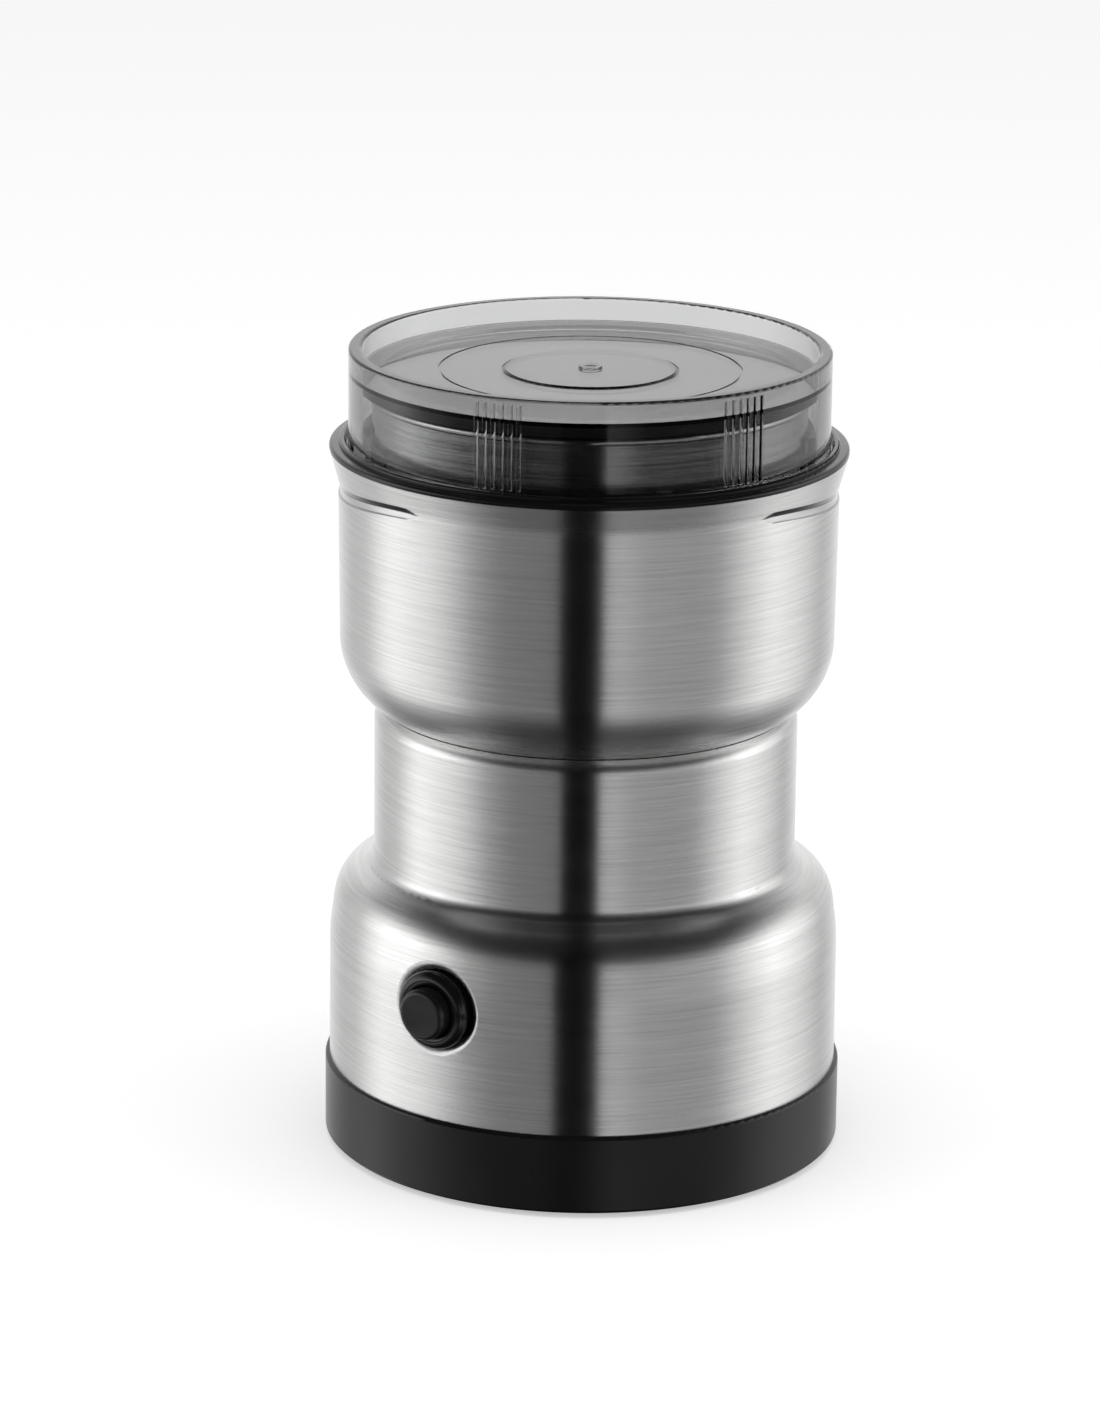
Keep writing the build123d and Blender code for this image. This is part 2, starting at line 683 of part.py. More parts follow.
# Four countersunk screws hold the collar to the frame, hidden under the lid's wall.
with BuildPart() as collar_screws:
    for b in boss_bearings:
        with Locations((*bearing_point(b, pin_circle_r), platform_top)):
            Cylinder(0.95, boss_depth, align=(Align.CENTER, Align.CENTER, Align.MAX))
            Cone(0.95, 1.85, 0.9, align=(Align.CENTER, Align.CENTER, Align.MAX))

# ---------------------------------------------------------------- cup

# The grinding cup is drawn from thin steel, with a rolled rim and a hole for the frame's tube.
cup_wall_top = rim_top - cup_rim_r
with BuildPart() as grinding_cup:
    with BuildSketch(Plane.XZ):
        with BuildLine():
            outer = FilletPolyline(
                (cup_hole_r, cup_base), (cup_r, cup_base), (cup_r, cup_wall_top), radius=cup_corner_r
            )
            inner = FilletPolyline(
                (cup_hole_r, cup_floor), (cup_r - sheet, cup_floor), (cup_r - sheet, cup_wall_top),
                radius=cup_corner_r - sheet,
            )
            Line(outer @ 0, inner @ 0)
            Line(outer @ 1, inner @ 1)
        make_face()
        with Locations((cup_r - sheet / 2, cup_wall_top)):
            Circle(cup_rim_r)
    revolve(axis=Axis.Z)

# A ring nut on the frame's tube clamps the cup's floor.
clamp_nut_wall = 5.0
clamp_nut_height = 3.4
with BuildPart() as cup_clamp_nut:
    with BuildSketch(Plane.XY.offset(cup_floor)):
        RegularPolygon(tube_r + clamp_nut_wall, 6)
        Circle(tube_r + 0.05, mode=Mode.SUBTRACT)
    extrude(amount=clamp_nut_height)
    chamfer(cup_clamp_nut.edges().group_by(Axis.Z)[-1].filter_by(GeomType.LINE), 0.6)

# A rubber lip seal in the tube keeps the powder off the bearing.
seal_depth = 4.6
seal_top = tube_top - 0.4
with BuildPart() as shaft_seal:
    with BuildSketch(Plane.XZ):
        with BuildLine():
            Polyline(
                (shaft_r + running_fit, seal_top - seal_depth),
                (tower_bore_r - 0.05, seal_top - seal_depth),
                (tower_bore_r - 0.05, seal_top),
                (tower_bore_r - 1.2, seal_top),
                (tower_bore_r - 1.6, seal_top - 1.6),
                (shaft_r + 0.8, seal_top - 1.6),
                (shaft_r + running_fit, seal_top - 0.6),
                close=True,
            )
        make_face()
    revolve(axis=Axis.Z)

# ---------------------------------------------------------------- lid

# The lid is moulded from clear smoke-grey plastic. Its disc is sunk below the rim, its wall carries
# groups of grip ribs outside and two lugs inside, and a ramp in its foot works the safety pin.
lug_r = lid_inner_r - lug_reach
ring_step_r = 18.0
faint_step_r = 32.0
lid_round = 0.6
nub_r = 2.5
nub_height = 0.9
pin_run = pin_circle_r * radians(lid_turn_angle)
notch_inner_r = lid_inner_r - 0.5
notch_outer_r = pin_circle_r + pin_r + loose_fit
notch_lead_angle = 2.4
ramp_bearing = pin_bearing + lid_turn_angle / 2
ramp_across = Vector(cos(radians(ramp_bearing)), sin(radians(ramp_bearing)), 0)
ramp_plane = Plane(
    (*bearing_point(ramp_bearing, pin_circle_r), lid_foot + loose_fit + pin_travel / 2),
    x_dir=Vector(*bearing_point(ramp_bearing, 1), 0),
    z_dir=ramp_across * (pin_travel / pin_run) + Vector(0, 0, 1),
)
with BuildPart() as ramp_notch:
    with BuildSketch(Plane.XY.offset(lid_foot)):
        add(ring_sector(notch_inner_r, notch_outer_r, pin_bearing - notch_lead_angle,
                        pin_bearing + lid_turn_angle + notch_lead_angle))
    extrude(amount=2 * pin_travel)
    split(bisect_by=ramp_plane, keep=Keep.BOTTOM)

with BuildPart() as lid:
    with BuildSketch(Plane.XZ):
        with BuildLine():
            Polyline(
                (lid_inner_r, lid_foot),
                (lid_r, lid_foot),
                (lid_r, lid_top),
                (lid_inner_r, lid_top),
                (lid_inner_r, disc_top),
                (0, disc_top),
                (0, disc_base),
                (seal_inner_r, disc_base),
                (seal_inner_r, disc_top - lid_edge_disc),
                (lid_inner_r, disc_top - lid_edge_disc),
                close=True,
            )
        make_face()
    revolve(axis=Axis.Z)
    rim_edges = lid.edges().filter_by(GeomType.CIRCLE).group_by(Axis.Z)[-1]
    fillet(rim_edges, lid_round)
    with BuildSketch(Plane.XY.offset(disc_top)):
        Circle(ring_step_r)
    extrude(amount=0.35)
    with BuildSketch(Plane.XY.offset(disc_top)):
        Circle(faint_step_r + 0.3)
        Circle(faint_step_r - 0.3, mode=Mode.SUBTRACT)
    extrude(amount=-0.25, mode=Mode.SUBTRACT)
    with BuildSketch(Plane.XY.offset(disc_top)):
        Circle(nub_r)
    extrude(amount=nub_height)
    with BuildSketch(Plane.XY.offset(disc_top + nub_height)):
        Circle(nub_r - 0.8)
    extrude(amount=-0.6, mode=Mode.SUBTRACT)
    for b in lug_bearings:
        with BuildSketch(Plane.XY.offset(lid_foot)):
            add(ring_sector(lug_r, lid_inner_r + 0.2, b - lug_angle / 2, b + lug_angle / 2))
        extrude(amount=lug_height)
    with BuildSketch(Plane.XY.offset(upstand_top + loose_fit)):
        for middle in rib_bearings:
            for i in range(rib_count):
                b = middle + rib_pitch * (i - (rib_count - 1) / 2)
                with Locations(Location(bearing_point(b, lid_r - 0.15), b)):
                    Circle(rib_r)
        Circle(lid_inner_r + 0.8, mode=Mode.SUBTRACT)
    extrude(amount=lid_top - 1.2 - upstand_top - loose_fit)
    add(ramp_notch.part, mode=Mode.SUBTRACT)

# The seal is a black ring in the rebate under the disc's edge. It presses on the cup's rim.
seal_lid_top = disc_top - lid_edge_disc - 0.05
with BuildPart() as lid_seal:
    with BuildSketch(Plane.XY.offset(seal_lid_top)):
        Circle(lid_inner_r - 0.25)
        Circle(seal_inner_r + 0.25, mode=Mode.SUBTRACT)
    extrude(amount=-seal_thickness)
    chamfer(lid_seal.edges().group_by(Axis.Z)[0], 0.4)

# ---------------------------------------------------------------- safety pin

# The pin stands in the collar under the lid's ramp. A spring on the frame's guide lifts it, and
# its foot works the small switch beside the cup.
pin_top = lid_foot + pin_travel
pin_flange_top = platform_base - loose_fit
pin_flange = 1.5
tip_r = 0.6
switch_box_top = switch_box_base + switch_box_z
with BuildPart() as interlock_pin:
    with Locations((pin_x, pin_y, switch_box_top + pin_travel + 0.5)):
        Cylinder(pin_r, pin_top - switch_box_top - pin_travel - 0.5,
                 align=(Align.CENTER, Align.CENTER, Align.MIN))
    chamfer(interlock_pin.edges().group_by(Axis.Z)[-1], pin_r / 2)
    with Locations((pin_x, pin_y, pin_flange_top)):
        Cylinder(pin_flange_r, pin_flange, align=(Align.CENTER, Align.CENTER, Align.MAX))
    with Locations((pin_x, pin_y, switch_box_top - 1.0)):
        Cylinder(tip_r, pin_travel + 2.0, align=(Align.CENTER, Align.CENTER, Align.MIN))

with BuildPart() as interlock_switch:
    with BuildSketch(pin_plane.offset(switch_box_base)):
        with Locations((0, -switch_box_r)):
            Rectangle(switch_box_x, switch_box_y)
    extrude(amount=switch_box_z)
    with Locations((pin_x, pin_y, switch_box_top)):
        Hole(tip_r + loose_fit, depth=1.0 + pin_travel + 1.0)
    with Locations(*switch_legs):
        Box(0.6, 2.0, switch_leg, align=(Align.CENTER, Align.CENTER, Align.MAX))


def spring(start, direction, length, mean_r, wire_r, turns):
    """A helical wire spring that starts at a point and runs along a direction."""
    pitch = length / turns
    path = Helix(pitch, length, mean_r)
    with BuildPart() as coil:
        with BuildSketch(Plane(path @ 0, z_dir=path % 0)):
            RegularPolygon(wire_r, 4)
        sweep(path=path, is_frenet=True)
    return Plane(start, z_dir=direction) * coil.part


pin_spring_wire = 0.25
pin_spring_base = guide_top + pin_spring_wire
pin_spring_top = pin_flange_top - pin_flange - pin_spring_wire - 0.1
interlock_spring = spring(
    (pin_x, pin_y, pin_spring_base), (0, 0, 1), pin_spring_top - pin_spring_base,
    pin_flange_r - pin_spring_wire, pin_spring_wire, 4,
)

# ---------------------------------------------------------------- push button

# A domed bezel fills the housing's hole. The cap slides in it against a spring, and its stem goes
# into the switch behind.
bezel_r = button_hole_r - seat_fit
bezel_front = housing_r + bezel_proud
bezel_shoulder = dimple_boss_inner - 0.8
cap_front = housing_r + cap_proud
cap_flange_front = bezel_shoulder - loose_fit
cap_flange_back = cap_flange_front - 1.4
switch_front = cap_flange_back - cap_travel - 0.5
bezel_seat = dimple_boss_inner - seat_fit
spring_bore_r = 4.2
spring_bore = 8.0
stem_r = 1.6
stem_length = 6.0
cap_wall = 1.4

with BuildPart() as switch_bezel:
    with BuildSketch(button_side):
        with BuildLine():
            start = (bezel_front - 0.5, bezel_opening_r)
            dome = ThreePointArc(
                start, (bezel_front - 0.35, bezel_opening_r + 1.1), (housing_r - button_dimple, bezel_r)
            )
            Polyline(
                dome @ 1,
                (bezel_seat, bezel_r),
                (bezel_seat, bezel_r + 2.2),
                (bezel_seat - 1.6, bezel_r + 2.2),
                (bezel_seat - 1.6, bezel_r),
                (switch_front, bezel_r),
                (switch_front, cap_flange_r + loose_fit),
                (bezel_shoulder, cap_flange_r + loose_fit),
                (bezel_shoulder, bezel_opening_r),
                start,
            )
        make_face()
    revolve(axis=button_axis)

with BuildPart() as button_cap:
    with BuildSketch(button_face.offset(cap_flange_back)):
        Circle(cap_r)
    extrude(amount=cap_front - cap_flange_back)
    fillet(button_cap.edges().group_by(button_axis)[-1], 1.0)
    with BuildSketch(button_face.offset(cap_flange_back)):
        Circle(cap_flange_r)
    extrude(amount=cap_flange_front - cap_flange_back)
    with BuildSketch(button_face.offset(cap_flange_back)):
        Circle(cap_r - cap_wall)
    extrude(amount=cap_front - 2 * cap_wall - cap_flange_back, mode=Mode.SUBTRACT)
    with BuildSketch(button_face.offset(switch_front - stem_length + cap_travel)):
        Circle(stem_r)
    extrude(amount=cap_front - cap_wall - switch_front + stem_length - cap_travel)

with BuildPart() as switch_body:
    with BuildSketch(button_face.offset(switch_front)):
        RectangleRounded(switch_side, switch_side, 1.5)
    extrude(amount=-switch_depth)
    with BuildSketch(button_face.offset(switch_front)):
        Circle(spring_bore_r)
    extrude(amount=-spring_bore, mode=Mode.SUBTRACT)
    with BuildSketch(button_face.offset(switch_front - switch_depth)):
        with GridLocations(8.0, 5.0, 2, 2):
            Rectangle(2.8, 0.8)
    extrude(amount=-6.0)

button_spring_wire = 0.3
button_spring_base = switch_front - spring_bore + button_spring_wire + 0.1
button_spring_front = cap_front - 2 * cap_wall - button_spring_wire - 0.1
button_spring = spring(
    button_dir * button_spring_base + Vector(0, 0, button_z), button_dir,
    button_spring_front - button_spring_base, stem_r + 1.3, button_spring_wire, 4,
)

# ---------------------------------------------------------------- motor

# The motor hangs upright under the inner frame: two brackets clamp a laminated stator between
# them with two long screws, and rubber cushions keep its hum from the frame.
leg_width = 14.0
plate_end = 2.0  # the bracket plates reach this far past the stator
upper_plate_width = 22.0
lower_plate_width = 20.0
leg_x = 2 * motor_hole_inset
boss_outer_r = 9.5
upper_bearing_top = frame_base - 1.2
lower_boss_top = lower_plate_top + 2.2
lower_boss_base = lower_boss_top - bearing_length - 2.0
holder_height = 8.0
holder_width = 9.0
holder_base = lower_boss_top + 1.5
holder_inner = 10.6
holder_outer = 27.0
holder_pad_y = (holder_inner + holder_outer) / 2 + 1.0
brush_mid = holder_base + holder_height / 2
commutator_r = 9.5
commutator_base = lower_boss_top + 2.0
commutator_top = holder_base + holder_height + 0.7

with BuildPart() as stator_core:
    with BuildSketch(Plane.XY.offset(stack_base)):
        RectangleRounded(stator_x, stator_y, stator_corner_r)
        Circle(armature_r + air_gap, mode=Mode.SUBTRACT)
        for side in (0.0, 180.0):
            add(ring_sector(armature_r, window_r, side + pole_half_angle, side + 180.0 - pole_half_angle),
                mode=Mode.SUBTRACT)
        with Locations((motor_hole_x, 0), (-motor_hole_x, 0)):
            Circle(motor_screw_r, mode=Mode.SUBTRACT)
    extrude(amount=stack_height)

# Each field coil is a saddle wound round one pole, with its ends bent round the armature.
coil_inner_r = armature_r + air_gap + 0.8
coil_outer_r = window_r - 0.4
coil_half_angle = 58.0
with BuildPart() as field_coils:
    for side in (0.0, 180.0):
        with BuildSketch(Plane.XY.offset(stack_base - coil_overhang)):
            add(ring_sector(coil_inner_r, coil_outer_r, side - coil_half_angle, side + coil_half_angle))
        extrude(amount=stack_height + 2 * coil_overhang)
    fillet(field_coils.edges().filter_by(Axis.Z), 1.4)
    for side in (0.0, 180.0):
        with BuildSketch(Plane.XY.offset(stack_base - 0.4)):
            add(ring_sector(armature_r, window_r + 1.0, side - pole_half_angle - 0.8,
                            side + pole_half_angle + 0.8))
        extrude(amount=stack_height + 0.8, mode=Mode.SUBTRACT)

with BuildPart() as upper_bracket:
    with BuildSketch(Plane.XY.offset(plate_top - bracket_plate)):
        SlotOverall(stator_x + 2 * plate_end, upper_plate_width)
    extrude(amount=bracket_plate)
    with BuildSketch(Plane.XY.offset(stack_top)):
        with Locations((motor_hole_x, 0), (-motor_hole_x, 0)):
            Rectangle(leg_x, leg_width)
    extrude(amount=upper_leg)
    with BuildSketch(Plane.XY.offset(plate_top)):
        Circle(boss_outer_r)
    extrude(amount=upper_bearing_top + 0.5 - plate_top)
    with Locations((0, 0, upper_bearing_top)):
        Cylinder(bearing_r, bearing_length, mode=Mode.SUBTRACT,
                 align=(Align.CENTER, Align.CENTER, Align.MAX))
    with BuildSketch(Plane.XY.offset(plate_top - bracket_plate)):
        Circle(shaft_r + 1.0)
    extrude(amount=20.0, mode=Mode.SUBTRACT)
    with Locations((motor_hole_x, 0, plate_top), (-motor_hole_x, 0, plate_top)):
        Hole(motor_screw_r, depth=upper_leg + bracket_plate)

with BuildPart() as lower_bracket:
    with BuildSketch(Plane.XY.offset(lower_plate_base)):
        SlotOverall(stator_x + 2 * plate_end, lower_plate_width)
        Rectangle(holder_width + 3.0, 2 * holder_outer)
    extrude(amount=bracket_plate)
    with BuildSketch(Plane.XY.offset(lower_plate_top)):
        with Locations((motor_hole_x, 0), (-motor_hole_x, 0)):
            Rectangle(leg_x, leg_width)
    extrude(amount=lower_leg)
    with BuildSketch(Plane.XY.offset(lower_boss_base)):
        Circle(boss_outer_r)
    extrude(amount=lower_boss_top - lower_boss_base)
    with BuildSketch(Plane.XY.offset(lower_plate_top)):
        with Locations((0, holder_pad_y), (0, -holder_pad_y)):
            Rectangle(holder_width + 3.0, holder_outer - holder_inner - 2.0)
    extrude(amount=holder_base - lower_plate_top)
    with Locations((0, 0, lower_boss_base)):
        Cylinder(bearing_r, bearing_length, mode=Mode.SUBTRACT,
                 align=(Align.CENTER, Align.CENTER, Align.MIN))
    with BuildSketch(Plane.XY.offset(lower_boss_base)):
        Circle(shaft_r + 1.0)
    extrude(amount=20.0, mode=Mode.SUBTRACT)
    with Locations((motor_hole_x, 0, stack_base), (-motor_hole_x, 0, stack_base)):
        Hole(motor_screw_r, depth=lower_leg + bracket_plate)

# The bearings are waisted bronze bushes that can find the shaft's line.
def bush(level):
    """One bush, tapered at both ends, whose lower end is at a level."""
    with BuildPart() as body:
        with BuildSketch(Plane.XZ):
            with BuildLine():
                Polyline(
                    (shaft_r + running_fit, level),
                    (bearing_r - 1.0, level),
                    (bearing_r - shaft_fit, level + bearing_length / 3),
                    (bearing_r - shaft_fit, level + 2 * bearing_length / 3),
                    (bearing_r - 1.0, level + bearing_length),
                    (shaft_r + running_fit, level + bearing_length),
                    close=True,
                )
            make_face()
        revolve(axis=Axis.Z)
    return body.part


upper_bearing = bush(upper_bearing_top - bearing_length)
lower_bearing = bush(lower_boss_base)

motor_screw_length = frame_base + frame_wall - 0.5 - lower_plate_base
with BuildPart() as motor_screws:
    for side in (1, -1):
        with Locations((side * motor_hole_x, 0, lower_plate_base)):
            Cylinder(motor_screw_r - 0.1, motor_screw_length, align=(Align.CENTER, Align.CENTER, Align.MIN))
            Cylinder(2 * motor_screw_r - 0.4, 2.4, align=(Align.CENTER, Align.CENTER, Align.MAX))
        with Locations((side * motor_hole_x, 0, lower_plate_base - 2.4)):
            Box(0.9, 4.2, 1.0, align=(Align.CENTER, Align.CENTER, Align.MIN), mode=Mode.SUBTRACT)
            Box(4.2, 0.9, 1.0, align=(Align.CENTER, Align.CENTER, Align.MIN), mode=Mode.SUBTRACT)

with BuildPart() as motor_cushions:
    with BuildSketch(Plane.XY.offset(plate_top)):
        with Locations((motor_hole_x, 0), (-motor_hole_x, 0)):
            Circle(motor_boss_r)
            Circle(motor_screw_r, mode=Mode.SUBTRACT)
    extrude(amount=cushion_thickness)

# Carbon brushes run on the commutator from two brass boxes, each pushed by its own spring.
brush_width = 5.0
brush_height = 6.0
brush_length = 9.0
holder_wall = 0.8
with BuildPart() as brush_holders:
    for side in (1, -1):
        with Locations((0, side * (holder_inner + holder_outer) / 2, brush_mid)):
            Box(holder_width, holder_outer - holder_inner, holder_height)
        with Locations((0, side * ((holder_inner + holder_outer) / 2 - holder_wall), brush_mid)):
            Box(brush_width + 0.2, holder_outer - holder_inner, brush_height + 0.2, mode=Mode.SUBTRACT)

brush_face = commutator_r + loose_fit
with BuildPart() as carbon_brushes:
    for side in (1, -1):
        with Locations((0, side * (brush_face + brush_length) / 2, brush_mid)):
            Box(brush_width, brush_face + brush_length, brush_height)
    with Locations((0, 0, brush_mid)):
        Cylinder(brush_face, 2 * brush_height, mode=Mode.SUBTRACT)

brush_spring_wire = 0.3
brush_spring_start = brush_face + brush_length + brush_spring_wire + 0.1
brush_spring_length = holder_outer - 2 * holder_wall - brush_spring_start - brush_spring_wire
front_brush_spring = spring((0, -brush_spring_start, brush_mid), (0, -1, 0), brush_spring_length,
                            brush_width / 2 - 0.5, brush_spring_wire, 3)
brush_springs = Compound(children=[front_brush_spring, front_brush_spring.rotate(Axis.Z, 180)])

# ---------------------------------------------------------------- rotor

shaft_base = lower_boss_base - 1.5
bush_base = tube_top + 0.4
blade_base = bush_base + bush_height
blade_top = blade_base + blade_thickness
shaft_top = blade_top + shaft_tip
with BuildPart() as motor_shaft:
    with BuildSketch(Plane.XY.offset(shaft_base)):
        Circle(shaft_r)
    extrude(amount=blade_base - shaft_base)
    chamfer(motor_shaft.edges().group_by(Axis.Z)[0], 0.5)
    with BuildSketch(Plane.XY.offset(blade_base)):
        Circle(shaft_tip_r)
    extrude(amount=shaft_top - blade_base)

# The armature is a slotted stack whose winding lies in the slots and bulges past both ends.
slot_count = 12
slot_width = 2.2
slot_floor_r = armature_r - 7.3
bundle_r = armature_r - 2.2
bundle_height = 4.2
with BuildPart() as armature_core:
    with BuildSketch(Plane.XY.offset(stack_base)):
        Circle(armature_r)
        Circle(shaft_r + shaft_fit, mode=Mode.SUBTRACT)
        with PolarLocations((slot_floor_r + armature_r) / 2 + 0.5, slot_count):
            Rectangle(armature_r - slot_floor_r + 1.0, slot_width, mode=Mode.SUBTRACT)
    extrude(amount=stack_height)

with BuildPart() as armature_winding:
    for level in (stack_base - bundle_height, stack_top + 0.1):
        with BuildSketch(Plane.XY.offset(level)):
            Circle(bundle_r)
            Circle(shaft_r + 1.2, mode=Mode.SUBTRACT)
        extrude(amount=bundle_height - 0.1)
    with BuildSketch(Plane.XY.offset(stack_base - 1.6)):
        with PolarLocations((slot_floor_r + bundle_r) / 2, slot_count):
            Rectangle(bundle_r - slot_floor_r - 1.0, slot_width - 0.3)
    extrude(amount=stack_height + 3.2)

bar_count = 12
with BuildPart() as commutator:
    with BuildSketch(Plane.XY.offset(commutator_base)):
        Circle(commutator_r)
        Circle(shaft_r + shaft_fit, mode=Mode.SUBTRACT)
        with PolarLocations(commutator_r, bar_count):
            Rectangle(1.4, 0.6, mode=Mode.SUBTRACT)
    extrude(amount=commutator_top - commutator_base)

# The fan draws air down through the motor and out of the base.
fan_hub_r = 6.0
fan_r = motor_hole_x - motor_hole_inset - 2.2
fan_disc = 1.2
fan_blades = 9
fan_base = stack_top + coil_overhang + 0.8
fan_top = plate_top - bracket_plate - 1.3
with BuildPart() as cooling_fan:
    with BuildSketch(Plane.XY.offset(fan_base)):
        Circle(fan_r)
    extrude(amount=fan_disc)
    with BuildSketch(Plane.XY.offset(stack_top + bundle_height + 0.3)):
        Circle(fan_hub_r)
    extrude(amount=fan_top - stack_top - bundle_height - 0.3)
    with BuildSketch(Plane.XY.offset(fan_base + fan_disc)):
        with PolarLocations((fan_hub_r + fan_r) / 2, fan_blades):
            Rectangle(fan_r - fan_hub_r, 1.0, rotation=14)
    extrude(amount=fan_top - fan_base - fan_disc)
    with BuildSketch(Plane.XY.offset(stack_top)):
        Circle(shaft_r + shaft_fit)
    extrude(amount=20.0, mode=Mode.SUBTRACT)

with BuildPart() as thrust_washers:
    for level in (fan_top + 0.1, lower_boss_top + 0.2):
        with BuildSketch(Plane.XY.offset(level)):
            Circle(bearing_r - 0.6)
            Circle(shaft_r + shaft_fit, mode=Mode.SUBTRACT)
        extrude(amount=0.9)

# ---------------------------------------------------------------- blade

# The blade is one strip of hard steel: flat at its hub, twisted up to its wings, each wing ground
# to an edge and bent the other way from its twin.
blade_hub = 16.0
twist_length = 7.0
tip_length = 7.0
twist_rise = 0.4
tip_rise = 2.0
tip_width = 7.0
with BuildPart() as blade_bush:
    with BuildSketch(Plane.XY.offset(bush_base)):
        Circle(shaft_r + bush_wall)
        Circle(shaft_r + shaft_fit, mode=Mode.SUBTRACT)
    extrude(amount=bush_height)
    chamfer(blade_bush.edges().group_by(Axis.Z)[0].sort_by(SortBy.LENGTH)[-1], 0.6)


def wing_section(distance, tilt, rise, width):
    """A blade section at a distance along +X: a thin strip, tilted and raised."""
    with BuildSketch(Plane((distance, 0, blade_base + blade_thickness / 2 + rise), x_dir=(0, 1, 0),
                           z_dir=(1, 0, 0))) as section:
        with Locations(Rotation(0, 0, tilt)):
            Rectangle(width, blade_thickness)
    return section.sketch.face()


with BuildPart() as wing:
    loft([
        wing_section(0, 0, 0, blade_width),
        wing_section(blade_hub / 2, 0, 0, blade_width),
    ])
    loft([
        wing_section(blade_hub / 2, 0, 0, blade_width),
        wing_section(blade_hub / 2 + twist_length, blade_twist_angle, twist_rise, 0.92 * blade_width),
        wing_section(blade_reach - tip_length, blade_twist_angle, 0.85 * tip_rise, 0.77 * blade_width),
        wing_section(blade_reach, blade_twist_angle, twist_rise + tip_rise, tip_width),
    ])

with BuildPart() as blade:
    add(wing.part)
    add(wing.part.rotate(Axis.Z, 180))
    with BuildSketch(Plane.XY.offset(blade_base)):
        Circle(shaft_tip_r + shaft_fit)
    extrude(amount=blade_thickness, mode=Mode.SUBTRACT)

nut_height = shaft_top + 1.6 - blade_top
with BuildPart() as blade_nut:
    with BuildSketch(Plane.XY.offset(blade_top)):
        RegularPolygon(nut_across_r, 6)
    extrude(amount=nut_height - 2.0)
    with BuildSketch(Plane.XY.offset(blade_top)):
        Circle(nut_across_r - 0.8)
    extrude(amount=nut_height)
    fillet(blade_nut.edges().group_by(Axis.Z)[-1], 1.9)
    with BuildSketch(Plane.XY.offset(blade_top)):
        Circle(shaft_tip_r + shaft_fit)
    extrude(amount=shaft_top + 0.2 - blade_top, mode=Mode.SUBTRACT)

# ---------------------------------------------------------------- export

save("base_cover", base_cover.part)
save("rubber_feet", rubber_feet.part)
save("base_screws", base_screws.part)
save("cord_gland", cord_gland.part)
save("cord_clamp", cord_clamp.part)
save("clamp_screws", clamp_screws.part)
save("terminal_block", terminal_block.part)
save("suppressor_capacitor", suppressor_capacitor.part)
save("lower_housing", lower_housing.part)
save("upper_shell", upper_shell.part)
save("inner_frame", inner_frame.part)
save("collar_ring", collar_ring.part)
save("collar_screws", collar_screws.part)
save("grinding_cup", grinding_cup.part)
save("cup_clamp_nut", cup_clamp_nut.part)
save("shaft_seal", shaft_seal.part)
save("lid", lid.part)
save("lid_seal", lid_seal.part)
save("interlock_pin", interlock_pin.part)
save("interlock_switch", interlock_switch.part)
save("interlock_spring", interlock_spring)
save("switch_bezel", switch_bezel.part)
save("button_cap", button_cap.part)
save("switch_body", switch_body.part)
save("button_spring", button_spring)
save("stator_core", stator_core.part)
save("field_coils", field_coils.part)
save("upper_bracket", upper_bracket.part)
save("lower_bracket", lower_bracket.part)
save("upper_bearing", upper_bearing)
save("lower_bearing", lower_bearing)
save("motor_screws", motor_screws.part)
save("motor_cushions", motor_cushions.part)
save("brush_holders", brush_holders.part)
save("carbon_brushes", carbon_brushes.part)
save("brush_springs", brush_springs)
save("motor_shaft", motor_shaft.part)
save("armature_core", armature_core.part)
save("armature_winding", armature_winding.part)
save("commutator", commutator.part)
save("cooling_fan", cooling_fan.part)
save("thrust_washers", thrust_washers.part)
save("blade_bush", blade_bush.part)
save("blade", blade.part)
save("blade_nut", blade_nut.part)
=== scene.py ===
"""The looks of an electric spice grinder, section by section, in the order it is put together.
Lengths are in metres: +Z is up, the front faces -Y and the turning axis is the Z axis."""

from math import atan2, cos, pi, radians, sin, tan, tau

import bmesh
import bpy
from mathutils import Matrix, Vector


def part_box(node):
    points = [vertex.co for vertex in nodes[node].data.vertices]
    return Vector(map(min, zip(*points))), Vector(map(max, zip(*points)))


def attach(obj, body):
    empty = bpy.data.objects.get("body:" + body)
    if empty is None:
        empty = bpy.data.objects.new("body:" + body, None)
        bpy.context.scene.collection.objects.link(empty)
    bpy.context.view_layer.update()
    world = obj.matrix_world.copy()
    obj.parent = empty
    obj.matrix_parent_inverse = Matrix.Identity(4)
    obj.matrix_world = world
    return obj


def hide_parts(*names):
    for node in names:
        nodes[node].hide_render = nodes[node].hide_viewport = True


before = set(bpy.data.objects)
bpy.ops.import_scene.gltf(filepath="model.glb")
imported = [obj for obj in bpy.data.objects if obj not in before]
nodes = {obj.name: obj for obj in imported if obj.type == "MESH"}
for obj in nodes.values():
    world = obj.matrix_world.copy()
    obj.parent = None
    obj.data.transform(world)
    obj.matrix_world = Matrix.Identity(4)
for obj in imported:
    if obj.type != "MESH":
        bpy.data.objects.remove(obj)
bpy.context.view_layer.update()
scene = bpy.context.scene

